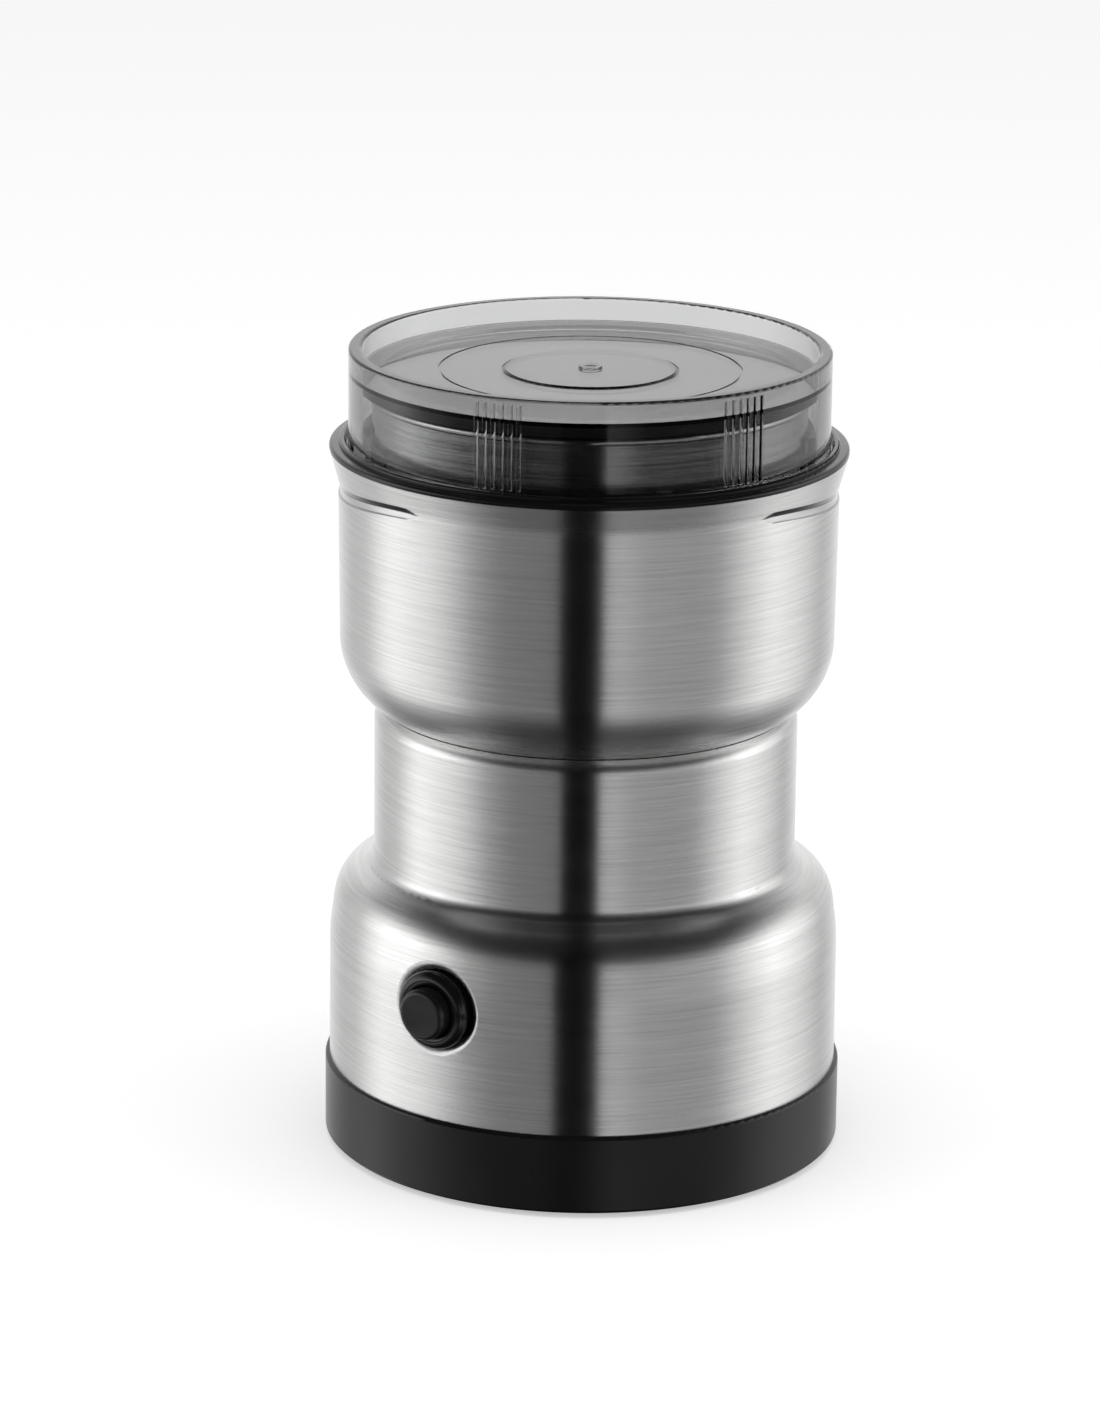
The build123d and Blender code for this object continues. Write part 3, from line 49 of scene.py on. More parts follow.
# The camera stands at the front, a metre and a quarter away, and looks down a little. Its long
# lens keeps the grinder's sides nearly parallel.
camera_distance = 1.2244
camera_pitch = radians(16.2945)
camera_roll = radians(0.6345)
aim = Vector((-0.007765, 0.0, 0.096933))
away = Vector((0.0, -cos(camera_pitch), sin(camera_pitch)))
lens_data = bpy.data.cameras.new("camera")
lens_data.lens = 146.13
lens_data.sensor_width = 36.0
camera = bpy.data.objects.new("camera", lens_data)
tilt = Matrix.Rotation(pi / 2 - camera_pitch, 4, "X") @ Matrix.Rotation(camera_roll, 4, "Z")
camera.matrix_world = Matrix.Translation(aim + away * camera_distance) @ tilt
scene.collection.objects.link(camera)
scene.camera = camera
scene.view_settings.view_transform = "Standard"

# The studio is a white room. Metal and gloss see its panels: a black flag behind the camera, grey
# walls beside it and a bright soft panel at each side. Bearings run from the back (-180) past the
# left (-90), the front (0) and the right (90) to the back again. The floor is dark right under the
# grinder, and so is the ceiling, which hangs lower at the front than at the back. A dark counter
# stands across the front at table height.
room_fill = 0.5
room_panels = (
    (-180, 1.15), (-160, 0.88), (-140, 0.64), (-122, 0.74), (-104, 1.70), (-84, 2.25), (-68, 1.85),
    (-54, 1.00), (-40, 0.68), (-14.0, 0.64), (-12.9, 0.002), (6.4, 0.002), (8.0, 1.20), (15, 1.40),
    (26, 1.24), (48, 1.00), (60, 0.98), (76, 1.52), (94, 2.00), (108, 1.55), (136, 0.72),
    (155, 0.80), (180, 1.15),
)
room_counter = (
    (-180, 0), (-122, 0), (-102, 0.35), (-86, 0.78), (-66, 0.94), (7, 0.96), (8.4, 0.72),
    (28, 0.96), (64, 0.94), (80, 0.72), (108, 0.46), (132, 0.30), (155, 0), (180, 0),
)
counter_levels = ((-1, 0), (-0.45, 0), (-0.39, 1), (-0.185, 1), (-0.13, 0), (1, 0))
room_floor = ((-1, 0.0), (-0.90, 0.01), (-0.74, 0.10), (-0.60, 0.34), (-0.46, 1.0), (1, 1.0))
room_ceiling = (
    (-1, 1.0), (0.14, 1.0), (0.28, 0.62), (0.44, 0.26), (0.58, 0.05), (0.70, 0.01), (1, 0.01),
)
ceiling_tilt = 0.35
counter_black = (0.002, 0.002, 0.002, 1)
# Through clear plastic the back and front walls turn white as a ray meets them more squarely.
window_edges = (0.55, 0.85)
world = bpy.data.worlds.new("studio")
world.use_nodes = True
scene.world = world
room = world.node_tree
background = room.nodes["Background"]


def add_node(tree, kind, settings=None, **inputs):
    """A new node with its settings, whose inputs are numbers, colours or other nodes' outputs."""
    node = tree.nodes.new(kind)
    for name, value in (settings or {}).items():
        setattr(node, name, value)
    for name, value in inputs.items():
        key = int(name[1:]) if name[0] == "i" and name[1:].isdigit() else name.replace("_", " ")
        if isinstance(value, bpy.types.NodeSocket):
            tree.links.new(value, node.inputs[key])
        else:
            node.inputs[key].default_value = value
    return node


def arithmetic(tree, operation, first, second=0.0):
    """One sum of two numbers or outputs."""
    node = add_node(tree, "ShaderNodeMath", {"operation": operation}, i0=first, i1=second)
    return node.outputs[0]


def ramp(tree, factor, stops, full):
    """A ramp of greys. Each stop is a place, in units of full, and a grey."""
    node = add_node(tree, "ShaderNodeValToRGB", i0=factor)
    elements = node.color_ramp.elements
    for place, grey in stops[1:-1]:
        elements.new((place - full[0]) / (full[1] - full[0])).color = (grey, grey, grey, 1)
    for element, grey in ((elements[0], stops[0][1]), (elements[-1], stops[-1][1])):
        element.color = (grey, grey, grey, 1)
    return node.outputs[0]


towards = add_node(room, "ShaderNodeTexCoord").outputs["Generated"]
split = add_node(room, "ShaderNodeSeparateXYZ", Vector=towards)
facing = arithmetic(room, "MULTIPLY", split.outputs["Y"], -1.0)
turn = arithmetic(room, "ARCTAN2", split.outputs["X"], facing)
turn = add_node(room, "ShaderNodeMapRange", Value=turn, From_Min=-pi, From_Max=pi).outputs[0]
panels = ramp(room, turn, room_panels, (-180, 180))
level = add_node(room, "ShaderNodeMapRange", Value=split.outputs["Z"], From_Min=-1.0).outputs[0]
low = ramp(room, level, room_floor, (-1, 1))
upright = ramp(room, level, counter_levels, (-1, 1))
lean = arithmetic(room, "MULTIPLY", split.outputs["Y"], ceiling_tilt)
raised = arithmetic(room, "SUBTRACT", split.outputs["Z"], lean)
raised = add_node(room, "ShaderNodeMapRange", Value=raised, From_Min=-1.0).outputs[0]
high = ramp(room, raised, room_ceiling, (-1, 1))
seen = add_node(room, "ShaderNodeMix", {"data_type": "RGBA", "blend_type": "MULTIPLY"},
                i0=1.0, i6=panels, i7=high).outputs[2]
seen = add_node(room, "ShaderNodeMix", {"data_type": "RGBA", "blend_type": "MULTIPLY"},
                i0=1.0, i6=seen, i7=low).outputs[2]
across = ramp(room, turn, room_counter, (-180, 180))
covered = arithmetic(room, "MULTIPLY", across, upright)
seen = add_node(room, "ShaderNodeMix", {"data_type": "RGBA"}, i0=covered, i6=seen,
                i7=counter_black).outputs[2]
path = add_node(room, "ShaderNodeLightPath")
squarely = arithmetic(room, "ABSOLUTE", split.outputs["Y"])
squarely = add_node(room, "ShaderNodeMapRange", Value=squarely, From_Min=window_edges[0],
                    From_Max=window_edges[1]).outputs[0]
through = arithmetic(room, "MULTIPLY", path.outputs["Is Transmission Ray"], squarely)
straight = arithmetic(room, "MAXIMUM", path.outputs["Is Camera Ray"], through)
lit = add_node(room, "ShaderNodeMix", {"data_type": "RGBA"}, i0=straight,
               i6=(room_fill, room_fill, room_fill, 1), i7=(1, 1, 1, 1)).outputs[2]
bent = arithmetic(room, "SUBTRACT", path.outputs["Is Transmission Ray"], through)
mirrored = arithmetic(room, "ADD", path.outputs["Glossy Depth"], bent)
mirrored = arithmetic(room, "MINIMUM", mirrored, 1.0)
shown = add_node(room, "ShaderNodeMix", {"data_type": "RGBA"}, i0=mirrored, i6=lit,
                 i7=seen).outputs[2]
room.links.new(shown, background.inputs["Color"])

# The floor is a wide sheet of white paper. It shows as plain white and keeps the grinder's soft
# shadow, but metal and gloss don't mirror it, because they see the room's floor.
floor_size = 6.0
floor_grey = 0.82
floor_lift = 0.46
sweep_start = 0.2  # clear plastic sees the white sweep only this far behind the grinder
floor_mesh = bmesh.new()
bmesh.ops.create_grid(floor_mesh, x_segments=1, y_segments=1, size=floor_size / 2)
floor_data = bpy.data.meshes.new("floor")
floor_mesh.to_mesh(floor_data)
floor_mesh.free()
floor = bpy.data.objects.new("floor", floor_data)
scene.collection.objects.link(floor)
paper = bpy.data.materials.new("white_paper")
paper.use_nodes = True
tree = paper.node_tree
tree.nodes.clear()
matte = add_node(tree, "ShaderNodeBsdfDiffuse", Color=(floor_grey, floor_grey, floor_grey, 1))
path = add_node(tree, "ShaderNodeLightPath")
through = path.outputs["Is Transmission Ray"]
straight = arithmetic(tree, "MAXIMUM", path.outputs["Is Camera Ray"], through)
lift = arithmetic(tree, "MULTIPLY", straight, floor_lift)
glow = add_node(tree, "ShaderNodeEmission", Strength=lift)
both = add_node(tree, "ShaderNodeAddShader", i0=matte.outputs[0], i1=glow.outputs[0])
position = add_node(tree, "ShaderNodeNewGeometry").outputs["Position"]
depth = add_node(tree, "ShaderNodeSeparateXYZ", Vector=position).outputs["Y"]
near = arithmetic(tree, "LESS_THAN", depth, sweep_start)
bent = arithmetic(tree, "MULTIPLY", through, near)
mirrored = arithmetic(tree, "ADD", path.outputs["Glossy Depth"], bent)
mirrored = arithmetic(tree, "MINIMUM", mirrored, 1.0)
unseen = add_node(tree, "ShaderNodeBsdfTransparent")
paper_look = add_node(tree, "ShaderNodeMixShader", i0=mirrored, i1=both.outputs[0],
                      i2=unseen.outputs[0])
add_node(tree, "ShaderNodeOutputMaterial", Surface=paper_look.outputs[0])
floor_data.materials.append(paper)

# Three soft boxes light the grinder: one high above it and one at each side. Metal and gloss don't
# see them, because they see the room's panels.
box_aim = Vector((0, 0, 0.08))
for name, place, width, height, power in (
    ("box_above", (0.1, -0.25, 1.5), 1.3, 1.3, 5.0),
    ("box_left", (-1.3, -0.35, 0.55), 1.1, 1.3, 3.4),
    ("box_right", (1.3, -0.25, 0.55), 1.1, 1.3, 3.0),
):
    box_data = bpy.data.lights.new(name, "AREA")
    box_data.shape = "RECTANGLE"
    box_data.size = width
    box_data.size_y = height
    box_data.energy = power
    soft_box = bpy.data.objects.new(name, box_data)
    soft_box.location = place
    soft_box.rotation_euler = (box_aim - Vector(place)).to_track_quat("-Z", "Y").to_euler()
    soft_box.visible_glossy = False
    scene.collection.objects.link(soft_box)

# The steel body is two drawn shells of thin stainless sheet: the lower housing with its round
# shoulder, and the bowl with a flared lip. Both are brushed while they spin, so that the scratches
# run round them and every reflection is drawn out upwards and downwards.
steel_dark = (0.625, 0.625, 0.62, 1)
steel_light = (0.775, 0.775, 0.77, 1)


def new_material(name, roughness, metallic=0.0, colour=(0.5, 0.5, 0.5, 1)):
    """A material with one shader, and the tree and shader that its pattern is wired to."""
    material = bpy.data.materials.new(name)
    material.use_nodes = True
    shader = material.node_tree.nodes["Principled BSDF"]
    shader.inputs["Roughness"].default_value = roughness
    shader.inputs["Metallic"].default_value = metallic
    shader.inputs["Base Color"].default_value = colour
    return material, material.node_tree, shader


def grain(tree, stretch, detail=3.0, coarse=0.6):
    """Noise in the piece's own space. Stretch is how many features lie in a metre along X, Y, Z."""
    place = add_node(tree, "ShaderNodeTexCoord").outputs["Object"]
    mapped = add_node(tree, "ShaderNodeMapping", Vector=place, Scale=stretch).outputs[0]
    return add_node(tree, "ShaderNodeTexNoise", Vector=mapped, Scale=1.0, Detail=detail,
                    Roughness=coarse).outputs[0]


def between(tree, factor, low, high, start=0.3, stop=0.7):
    """Turns noise between start and stop into a number from low to high."""
    return add_node(tree, "ShaderNodeMapRange", Value=factor, From_Min=start, From_Max=stop,
                    To_Min=low, To_Max=high).outputs[0]


def shades(tree, shader, factor, dark, light):
    """The base colour runs from dark to light with the factor."""
    mixed = add_node(tree, "ShaderNodeMix", {"data_type": "RGBA"}, i0=factor, i6=dark, i7=light)
    tree.links.new(mixed.outputs[2], shader.inputs["Base Color"])


def relief(tree, shader, height, depth, strength=1.0):
    """A bump of that depth in metres."""
    bump = add_node(tree, "ShaderNodeBump", Height=height, Distance=depth, Strength=strength)
    tree.links.new(bump.outputs[0], shader.inputs["Normal"])


def turned_tangent(tree, shader):
    """The brushing runs round the Z axis, and reflections spread across it."""
    tangent = add_node(tree, "ShaderNodeTangent", {"direction_type": "RADIAL", "axis": "Z"})
    tree.links.new(tangent.outputs[0], shader.inputs["Tangent"])
    shader.inputs["Anisotropic Rotation"].default_value = 0.25


def dress(material, *names):
    """These CAD pieces take the material on all their slots."""
    for name in names:
        for place in nodes[name].material_slots:
            place.material = material


brushed_steel, tree, shader = new_material("brushed_steel", 0.3, 1.0)
long_streaks = grain(tree, (22, 22, 1700), 4.0, 0.65)
short_streaks = grain(tree, (90, 90, 3600), 2.0, 0.6)
broad_bands = grain(tree, (6, 6, 160), 2.0, 0.5)
streaks = arithmetic(tree, "ADD", arithmetic(tree, "MULTIPLY", long_streaks, 0.6),
                     arithmetic(tree, "MULTIPLY", short_streaks, 0.4))
shades(tree, shader, between(tree, streaks, 0.0, 1.0, 0.34, 0.66), steel_dark, steel_light)
relief(tree, shader, streaks, 0.000008, 0.4)
# The wheel doesn't reach into the two grooves of the bowl. They keep the sheet's own finish, which
# is smoother, and their base colour is darkened as painted shade, most of all on the upper wall.
painted_groove_shade = (0.06, 0.06, 0.06, 1)
unbrushed_roughness = 0.13
brushed_spread = 0.95  # how far brushing draws a reflection out; the sheet's own finish doesn't
in_groove = add_node(tree, "ShaderNodeAttribute", {"attribute_name": "pressed"}).outputs["Fac"]
brushed = shader.inputs["Base Color"].links[0].from_socket
# Painted shade: the groove's mark mixes the brushed colour towards near black.
tone = add_node(tree, "ShaderNodeMix", {"data_type": "RGBA"}, i0=in_groove, i6=brushed,
                i7=painted_groove_shade)
tree.links.new(tone.outputs[2], shader.inputs["Base Color"])
spread = add_node(tree, "ShaderNodeMapRange", Value=in_groove, To_Min=brushed_spread,
                  To_Max=0.0).outputs[0]
tree.links.new(spread, shader.inputs["Anisotropic"])
finish = add_node(tree, "ShaderNodeMix", i0=in_groove, i2=between(tree, broad_bands, 0.24, 0.28),
                  i3=unbrushed_roughness)
tree.links.new(finish.outputs[0], shader.inputs["Roughness"])
turned_tangent(tree, shader)
dress(brushed_steel, "lower_housing")

# The bowl is drawn from one sheet, with a finger groove pressed in under the lip at each side. A
# groove hangs lowest at the side and rises towards its two ends, where it runs out. Its upper wall
# is long, its floor slopes a little, and its lower wall is short and steep.
sheet = 0.0008
lip_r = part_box("upper_shell")[1][0]
lip_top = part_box("upper_shell")[1][2]
crease_r = lip_r - 0.0019
crease_z = lip_top - 0.006
lip_round = 0.012
bowl_base = lip_top - 0.0583
foot_r = crease_r - 0.00055
corner_r = 0.0175
hole_r = crease_r - 0.0101
groove_top = 0.14795
groove_dip = 0.0029
groove_half_width = 0.0013
groove_widening = 0.00035
groove_end_depth = 0.00027
groove_side_depth = 0.00046
groove_reach = radians(48.5)  # from the middle of a side to a groove's end
groove_run_out = radians(4.0)
groove_end_width = 0.35  # as a share of the full width
# Places across a groove run from -1 at its lower edge to 1 at its upper one.
floor_start = 0.12
floor_stop = -0.74
floor_rise = 0.22  # how much shallower the floor gets on the way, as a share of the depth
# A mark of 1 shows the sheet's own smoother finish with full painted shade, and 0 the brushed one.
dark_start = 0.1  # the upper wall's mark starts a little way onto the floor
upper_wall_mark = 0.9
floor_mark = 0.05
lower_wall_mark = 0.5
least_depth = 0.02  # places shallower than this share of the depth are brushed
bowl_sides = 360
corner_steps = 16
groove_rows = 34
groove_margin = 1.15  # a groove's own rows of vertices reach this far, past its edges at 1
plain_margin = 1.3  # the bowl's plain rows keep this far from a groove's middle


def rounded(corners, radii, steps):
    """Close points on the line through these corners, with the inner ones rounded."""
    line = [Vector(corners[0])]
    for before, corner, after, radius in zip(corners, corners[1:], corners[2:], radii):
        back = (Vector(before) - Vector(corner)).normalized()
        on = (Vector(after) - Vector(corner)).normalized()
        half = back.angle(on) / 2
        centre = Vector(corner) + (back + on).normalized() * radius / sin(half)
        first = Vector(corner) + back * radius / tan(half) - centre
        last = Vector(corner) + on * radius / tan(half) - centre
        for step in range(steps + 1):
            line.append(centre + first.lerp(last, step / steps).normalized() * radius)
    return line + [Vector(corners[-1])]


def crossing(line, axis, value):
    """Where the line first passes that value. Axis 0 is the radius and axis 1 the height."""
    for a, b in zip(line, line[1:]):
        if a[axis] < b[axis] and a[axis] <= value <= b[axis]:
            return a.lerp(b, (value - a[axis]) / (b[axis] - a[axis]))
    return line[-1]


def eased(part):
    """A step from 0 to 1 with no kink at either end."""
    part = min(max(part, 0.0), 1.0)
    return part * part * (3 - 2 * part)


def straight_step(part, rounding=0.16):
    """A step from 0 to 1 that is straight but for a short rounding at each end."""
    if part > 0.5:
        return 1 - straight_step(1 - part, rounding)
    part = max(part, 0.0)
    slope = 1 / (1 - rounding)
    return slope * part**2 / (2 * rounding) if part < rounding else slope * (part - rounding / 2)


def groove_shape(across):
    """The depth at that place across a groove, as a share of its greatest depth."""
    if across > floor_start:
        return straight_step((1 - across) / (1 - floor_start))
    if across > floor_stop:
        return 1 - floor_rise * eased((floor_start - across) / (floor_start - floor_stop))
    return (1 - floor_rise) * eased((across + 1) / (floor_stop + 1))


def groove_mark(across):
    """How much of the sheet's own finish, and of the painted shade, shows at that place across a
    groove.
    """
    if across > dark_start:
        return upper_wall_mark
    return floor_mark if across > floor_stop else lower_wall_mark


def bowl_line(inset):
    """The bowl's outline, that far inside its outer face, from its hole to its lip."""
    corners = ((foot_r / 2, bowl_base + inset), (foot_r - inset, bowl_base + inset),
               (crease_r - inset, crease_z), (lip_r - inset, lip_top))
    line = rounded(corners, (corner_r - inset, lip_round + inset), corner_steps)
    start = crossing(line, 0, hole_r)
    return [start] + [point for point in line if point.x > hole_r and point.y > start.y]


def plain_row(point):
    """A row of the bowl that no groove crosses: a radius, a height and a mark for each vertex."""
    return [(point.x, point.y, 0.0)] * bowl_sides


def groove_row(line, across):
    """The row of the bowl at that place across its two grooves."""
    points = []
    for side in range(bowl_sides):
        turn = tau * side / bowl_sides
        from_side = atan2(abs(sin(turn)), abs(cos(turn))) / groove_reach
        inside = max(1 - from_side**2, 0.0)
        half_width = groove_half_width + groove_widening * inside
        height = groove_top - groove_dip * inside**2 + across * half_width
        strength = eased((1 - from_side) * groove_reach / groove_run_out)
        place = across / (groove_end_width + (1 - groove_end_width) * strength)
        depth = strength * groove_shape(place) if abs(place) < 1 else 0.0
        deepest = groove_end_depth + (groove_side_depth - groove_end_depth) * inside
        radius = crossing(line, 1, height).x - deepest * depth
        points.append((radius, height, groove_mark(place) if depth > least_depth else 0.0))
    return points


def vertex_ring(points):
    """One row of vertices round the Z axis."""
    row = []
    for side, (radius, height, mark) in enumerate(points):
        turn = tau * side / bowl_sides
        vertex = bowl_mesh.verts.new((radius * cos(turn), radius * sin(turn), height))
        vertex[pressed] = mark
        row.append(vertex)
    return row


bowl_mesh = bmesh.new()
pressed = bowl_mesh.verts.layers.float.new("pressed")
outer_line = bowl_line(0.0)
inner_line = bowl_line(sheet)
lowest_groove = groove_top - groove_dip - plain_margin * (groove_half_width + groove_widening)
highest_groove = groove_top + plain_margin * groove_half_width
outline = [plain_row(point) for point in outer_line if point.y < lowest_groove]
for row in range(groove_rows + 1):
    outline.append(groove_row(outer_line, groove_margin * (2 * row / groove_rows - 1)))
outline += [plain_row(point) for point in outer_line if point.y > highest_groove]
outer_rows = len(outline)
outline += [plain_row(point) for point in reversed(inner_line)]
rows = [vertex_ring(points) for points in outline]
for low, high in zip(rows, rows[1:] + rows[:1]):
    for side in range(bowl_sides):
        after = (side + 1) % bowl_sides
        face = bowl_mesh.faces.new((low[side], low[after], high[after], high[side]))
        face.smooth = True
for row in (rows[0], rows[outer_rows - 1], rows[outer_rows], rows[-1]):
    for side in range(bowl_sides):
        bowl_mesh.edges.get((row[side], row[(side + 1) % bowl_sides])).smooth = False
bowl_data = bpy.data.meshes.new("bowl")
bowl_mesh.to_mesh(bowl_data)
bowl_mesh.free()
bowl_data.materials.append(brushed_steel)
bowl = bpy.data.objects.new("bowl", bowl_data)
scene.collection.objects.link(bowl)
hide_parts("upper_shell")
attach(bowl, "housing")

# The base is a moulded pan in satin black plastic with a fine spark texture. It stands on four
# rubber buttons and is held by three long screws.
black_plastic, tree, shader = new_material("satin_black_plastic", 0.28)
spark = grain(tree, (2600, 2600, 2600), 2.0, 0.5)
haze = grain(tree, (40, 40, 40), 2.0, 0.5)
shades(tree, shader, haze, (0.004, 0.004, 0.0042, 1), (0.008, 0.008, 0.0084, 1))
tree.links.new(between(tree, haze, 0.25, 0.32), shader.inputs["Roughness"])
relief(tree, shader, spark, 0.00002, 0.3)
shader.inputs["Specular IOR Level"].default_value = 0.38
dress(black_plastic, "base_cover", "cord_gland", "cord_clamp")

# The feet are rubber buttons, pressed into pockets under the pan. The same black rubber cushions
# the motor under its frame and seals the shaft where it enters the cup.
rubber, tree, shader = new_material("black_rubber", 0.78)
specks = grain(tree, (1400, 1400, 1400), 3.0, 0.7)
shades(tree, shader, specks, (0.012, 0.012, 0.012, 1), (0.03, 0.03, 0.029, 1))
relief(tree, shader, specks, 0.00004, 0.7)
dress(rubber, "rubber_feet", "motor_cushions", "shaft_seal")

# The screws are steel, plated with zinc that is never quite even. Three long ones hold the base
# and four short ones the collar. The motor has two, and so has the cord's clamp.
zinc, tree, shader = new_material("zinc_plate", 0.34, 1.0)
plating = grain(tree, (420, 420, 420), 3.0, 0.6)
shades(tree, shader, plating, (0.48, 0.50, 0.54, 1), (0.72, 0.73, 0.74, 1))
tree.links.new(between(tree, plating, 0.26, 0.44), shader.inputs["Roughness"])
dress(zinc, "base_screws", "clamp_screws", "motor_screws", "collar_screws")

# The terminal block is pale moulded plastic with three ways for the leads. The suppressor capacitor
# in front of it is potted in a yellow box.
terminal_plastic, tree, shader = new_material("pale_terminal_plastic", 0.48)
cloud = grain(tree, (110, 110, 110), 2.0, 0.5)
shades(tree, shader, cloud, (0.62, 0.61, 0.56, 1), (0.72, 0.71, 0.67, 1))
relief(tree, shader, grain(tree, (2000, 2000, 2000)), 0.00002, 0.4)
dress(terminal_plastic, "terminal_block")

capacitor_box, tree, shader = new_material("yellow_capacitor_box", 0.36)
shades(tree, shader, grain(tree, (160, 160, 160)), (0.62, 0.40, 0.03, 1), (0.74, 0.50, 0.05, 1))
dress(capacitor_box, "suppressor_capacitor")

# The motor's stator and armature are stacks of half-millimetre steel plates, so their sides show
# the edges of the plates.
plate_pitch = 0.0005
laminated_steel, tree, shader = new_material("laminated_steel", 0.42, 1.0)
height = add_node(tree, "ShaderNodeSeparateXYZ",
                  Vector=add_node(tree, "ShaderNodeTexCoord").outputs["Object"]).outputs["Z"]
edges = arithmetic(tree, "PINGPONG", height, plate_pitch / 2)
edges = add_node(tree, "ShaderNodeMapRange", Value=edges, From_Max=plate_pitch / 2).outputs[0]
shades(tree, shader, edges, (0.13, 0.14, 0.16, 1), (0.36, 0.37, 0.39, 1))
relief(tree, shader, edges, 0.00006)
dress(laminated_steel, "stator_core", "armature_core")

# The field coils and the armature's winding are enamelled copper wire, laid in rows that show
# through the varnish.
copper_wire, tree, shader = new_material("enamelled_copper", 0.30, 1.0)
place = add_node(tree, "ShaderNodeTexCoord").outputs["Object"]
wires = add_node(tree, "ShaderNodeTexWave", {"wave_type": "BANDS", "bands_direction": "Z"},
                 Vector=place, Scale=420.0, Distortion=1.2, Detail=1.0, i4=0.5).outputs[1]
shades(tree, shader, wires, (0.20, 0.045, 0.012, 1), (0.72, 0.27, 0.09, 1))
relief(tree, shader, wires, 0.00015)
dress(copper_wire, "field_coils", "armature_winding")

# The motor's brackets are pressed from bright steel strip, and its shaft and thrust washers are
# ground. All of them have fine marks from the tools.
bright_steel, tree, shader = new_material("bright_steel", 0.24, 1.0)
wear = grain(tree, (60, 300, 60), 4.0, 0.65)
shades(tree, shader, wear, (0.50, 0.51, 0.53, 1), (0.70, 0.70, 0.71, 1))
tree.links.new(between(tree, wear, 0.18, 0.34), shader.inputs["Roughness"])
dress(bright_steel, "upper_bracket", "lower_bracket", "motor_shaft", "thrust_washers")

# The motor's two bearings are bushes of sintered bronze. It is dull, full of fine pores and soaked
# in oil.
bronze, tree, shader = new_material("sintered_bronze", 0.5, 1.0)
pores = grain(tree, (2400, 2400, 2400), 3.0, 0.7)
shades(tree, shader, pores, (0.26, 0.14, 0.06, 1), (0.56, 0.36, 0.17, 1))
relief(tree, shader, pores, 0.00003)
dress(bronze, "upper_bearing", "lower_bearing")

# The boxes that hold the brushes are folded from rolled brass. The commutator's bars have much the
# same colour.
brass, tree, shader = new_material("rolled_brass", 0.3, 1.0)
shades(tree, shader, grain(tree, (40, 40, 700)), (0.55, 0.38, 0.13, 1), (0.78, 0.58, 0.25, 1))
dress(brass, "brush_holders", "commutator")

# The brushes are blocks of pressed carbon, black and a little dusty. Their springs, and those of
# the button and the safety pin, are drawn steel wire.
carbon, tree, shader = new_material("pressed_carbon", 0.62)
dust = grain(tree, (1800, 1800, 1800), 3.0, 0.7)
shades(tree, shader, dust, (0.012, 0.012, 0.013, 1), (0.06, 0.06, 0.062, 1))
relief(tree, shader, dust, 0.00003)
dress(carbon, "carbon_brushes")

spring_steel, tree, shader = new_material("spring_wire", 0.26, 1.0)
drawn = grain(tree, (900, 900, 900), 2.0, 0.6)
shades(tree, shader, drawn, (0.36, 0.37, 0.39, 1), (0.58, 0.59, 0.60, 1))
dress(spring_steel, "brush_springs", "button_spring", "interlock_spring")

# The fan and the safety pin are moulded in natural nylon, which is white and a little yellow, and
# cloudy rather than even.
nylon, tree, shader = new_material("natural_nylon", 0.40)
milk = grain(tree, (90, 90, 90), 2.0, 0.5)
shades(tree, shader, milk, (0.64, 0.62, 0.55, 1), (0.74, 0.72, 0.66, 1))
relief(tree, shader, grain(tree, (1500, 1500, 1500)), 0.00002, 0.4)
dress(nylon, "cooling_fan", "interlock_pin")

# The inner frame, which carries the cup, the collar and the motor, is dark grey plastic filled with
# glass fibre, and so are the cases of the two switches. It shows flow marks.
frame_plastic, tree, shader = new_material("filled_grey_plastic", 0.5)
flow = grain(tree, (60, 60, 180), 4.0, 0.6)
shades(tree, shader, flow, (0.028, 0.029, 0.031, 1), (0.055, 0.056, 0.060, 1))
tree.links.new(between(tree, flow, 0.44, 0.58), shader.inputs["Roughness"])
dress(frame_plastic, "inner_frame", "switch_body", "interlock_switch")

# The grinding cup is drawn from stainless sheet and polished on a lathe, with a rolled rim. A ring
# nut clamps it to the frame.
cup_steel, tree, shader = new_material("turned_cup_steel", 0.16, 1.0)
rings = grain(tree, (22, 22, 2600), 3.0, 0.6)
marks = between(tree, rings, 0.0, 1.0)
shades(tree, shader, marks, (0.50, 0.50, 0.50, 1), (0.66, 0.66, 0.66, 1))
tree.links.new(between(tree, rings, 0.13, 0.19), shader.inputs["Roughness"])
shader.inputs["Anisotropic"].default_value = 0.5
turned_tangent(tree, shader)
dress(cup_steel, "grinding_cup", "cup_clamp_nut")

# The blade is stamped from hard strip, twisted, and ground along its edges, on a steel bush and
# under a domed nut.
blade_steel, tree, shader = new_material("ground_blade_steel", 0.2, 1.0)
grinding = grain(tree, (2600, 60, 60), 3.0, 0.6)
marks = between(tree, grinding, 0.0, 1.0)
shades(tree, shader, marks, (0.50, 0.51, 0.52, 1), (0.74, 0.74, 0.75, 1))
tree.links.new(between(tree, grinding, 0.14, 0.30), shader.inputs["Roughness"])
relief(tree, shader, grinding, 0.00001, 0.6)
dress(blade_steel, "blade", "blade_bush", "blade_nut")

# The collar round the lid's foot and the button's bezel are glossy black mouldings. The button's
# cap is a shade duller.
gloss_black, tree, shader = new_material("gloss_black_plastic", 0.2)
polish = grain(tree, (70, 70, 70), 2.0, 0.5)
shades(tree, shader, polish, (0.004, 0.004, 0.0042, 1), (0.007, 0.007, 0.0072, 1))
tree.links.new(between(tree, polish, 0.14, 0.20), shader.inputs["Roughness"])
shader.inputs["Specular IOR Level"].default_value = 0.4
dress(gloss_black, "collar_ring", "switch_bezel")

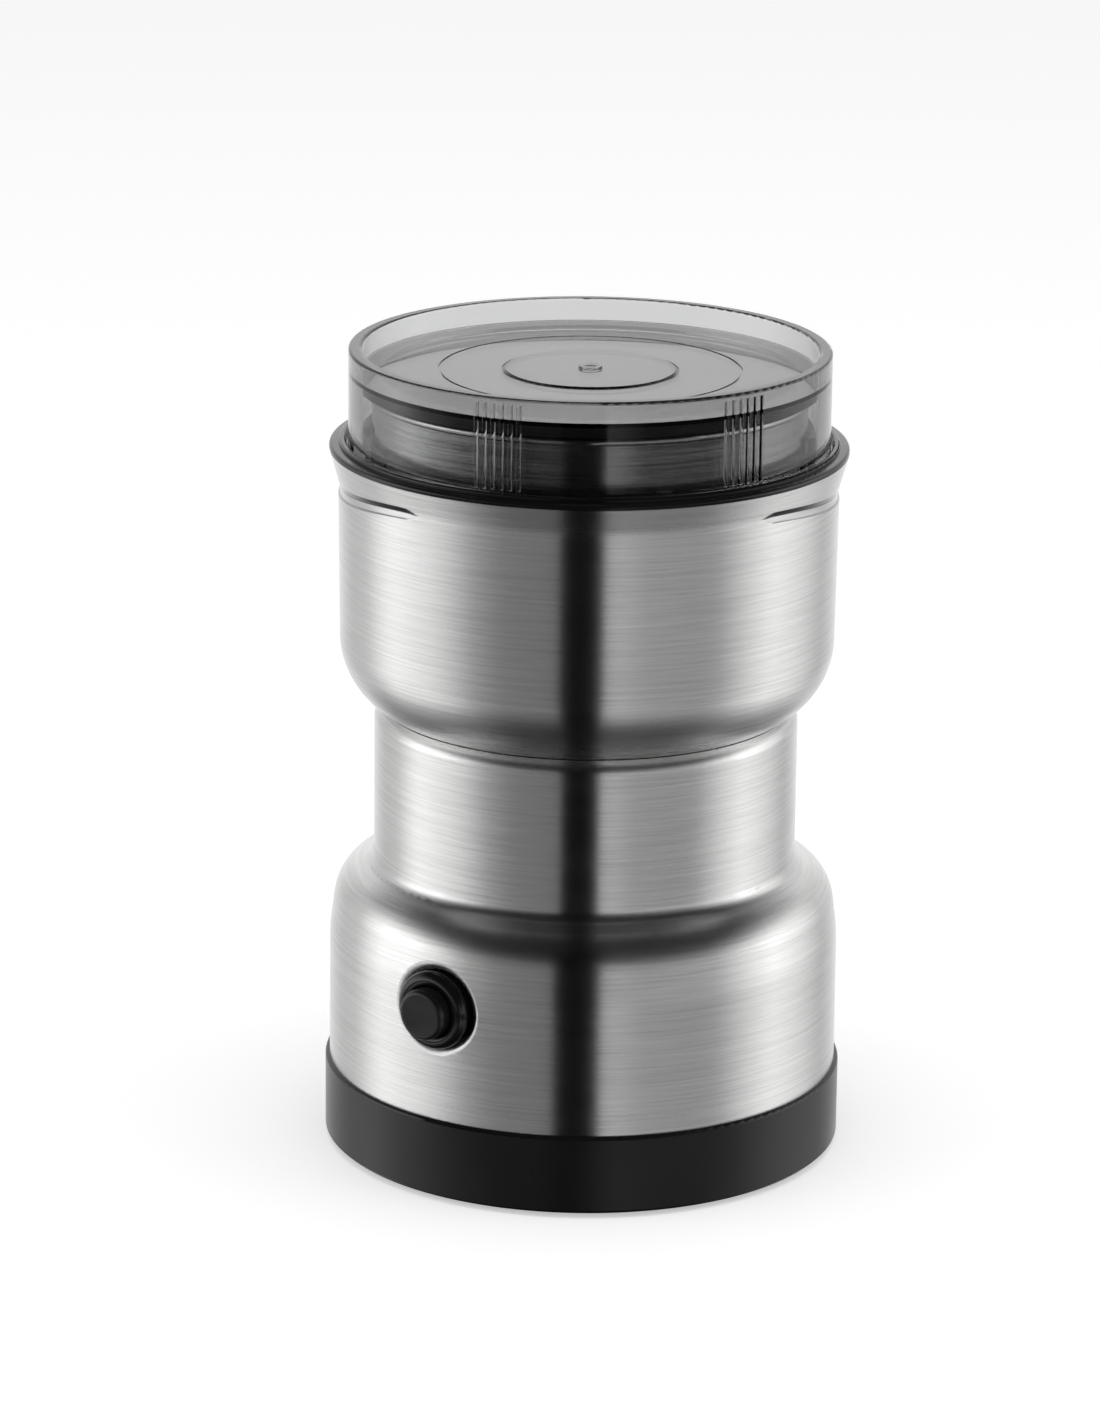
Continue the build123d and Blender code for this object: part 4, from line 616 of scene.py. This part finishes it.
cap_black, tree, shader = new_material("cap_black_plastic", 0.34)
polish = grain(tree, (200, 200, 200), 2.0, 0.5)
shades(tree, shader, polish, (0.005, 0.005, 0.0052, 1), (0.010, 0.010, 0.0102, 1))
tree.links.new(between(tree, polish, 0.26, 0.34), shader.inputs["Roughness"])
shader.inputs["Specular IOR Level"].default_value = 0.4
dress(cap_black, "button_cap")

# The lid is moulded in clear smoke-grey plastic, polished, with faint flow lines. A fine ring is
# moulded into its disc round the nub.
smoke, tree, shader = new_material("smoke_clear_plastic", 0.03, 0.0, (1, 1, 1, 1))
shader.inputs["Transmission Weight"].default_value = 1.0
shader.inputs["IOR"].default_value = 1.5
ripple = grain(tree, (45, 45, 45), 2.0, 0.5)
tree.links.new(between(tree, ripple, 0.0, 0.02), shader.inputs["Roughness"])
ring_r = 0.0184
ring_half_width = 0.0004
ring_height = 0.0005
flow_height = 0.06  # as a share of the ring's height
place = add_node(tree, "ShaderNodeTexCoord").outputs["Object"]
flat = add_node(tree, "ShaderNodeMapping", Vector=place, Scale=(1, 1, 0)).outputs[0]
radius = add_node(tree, "ShaderNodeVectorMath", {"operation": "LENGTH"}, i0=flat).outputs["Value"]
off = arithmetic(tree, "ABSOLUTE", arithmetic(tree, "SUBTRACT", radius, ring_r))
ring = add_node(tree, "ShaderNodeMapRange", {"interpolation_type": "SMOOTHSTEP"}, Value=off,
                From_Max=ring_half_width).outputs[0]
flow_lines = arithmetic(tree, "MULTIPLY", ripple, flow_height)
relief(tree, shader, arithmetic(tree, "ADD", flow_lines, ring), ring_height)
absorb = add_node(tree, "ShaderNodeVolumeAbsorption", Color=(0.36, 0.365, 0.37, 1), Density=200.0)
tree.links.new(absorb.outputs[0], tree.nodes["Material Output"].inputs["Volume"])
dress(smoke, "lid")
nodes["lid"].visible_shadow = False  # such clear walls hardly shade the cup and the collar

# The seal is a ring of dull black rubber in the rebate under the disc's edge. It presses on the
# cup's rim.
ring_rubber, tree, shader = new_material("seal_rubber", 0.6)
specks = grain(tree, (900, 900, 900), 3.0, 0.7)
shades(tree, shader, specks, (0.003, 0.003, 0.003, 1), (0.008, 0.008, 0.008, 1))
relief(tree, shader, specks, 0.00003, 0.5)
shader.inputs["Specular IOR Level"].default_value = 0.3
dress(ring_rubber, "lid_seal")
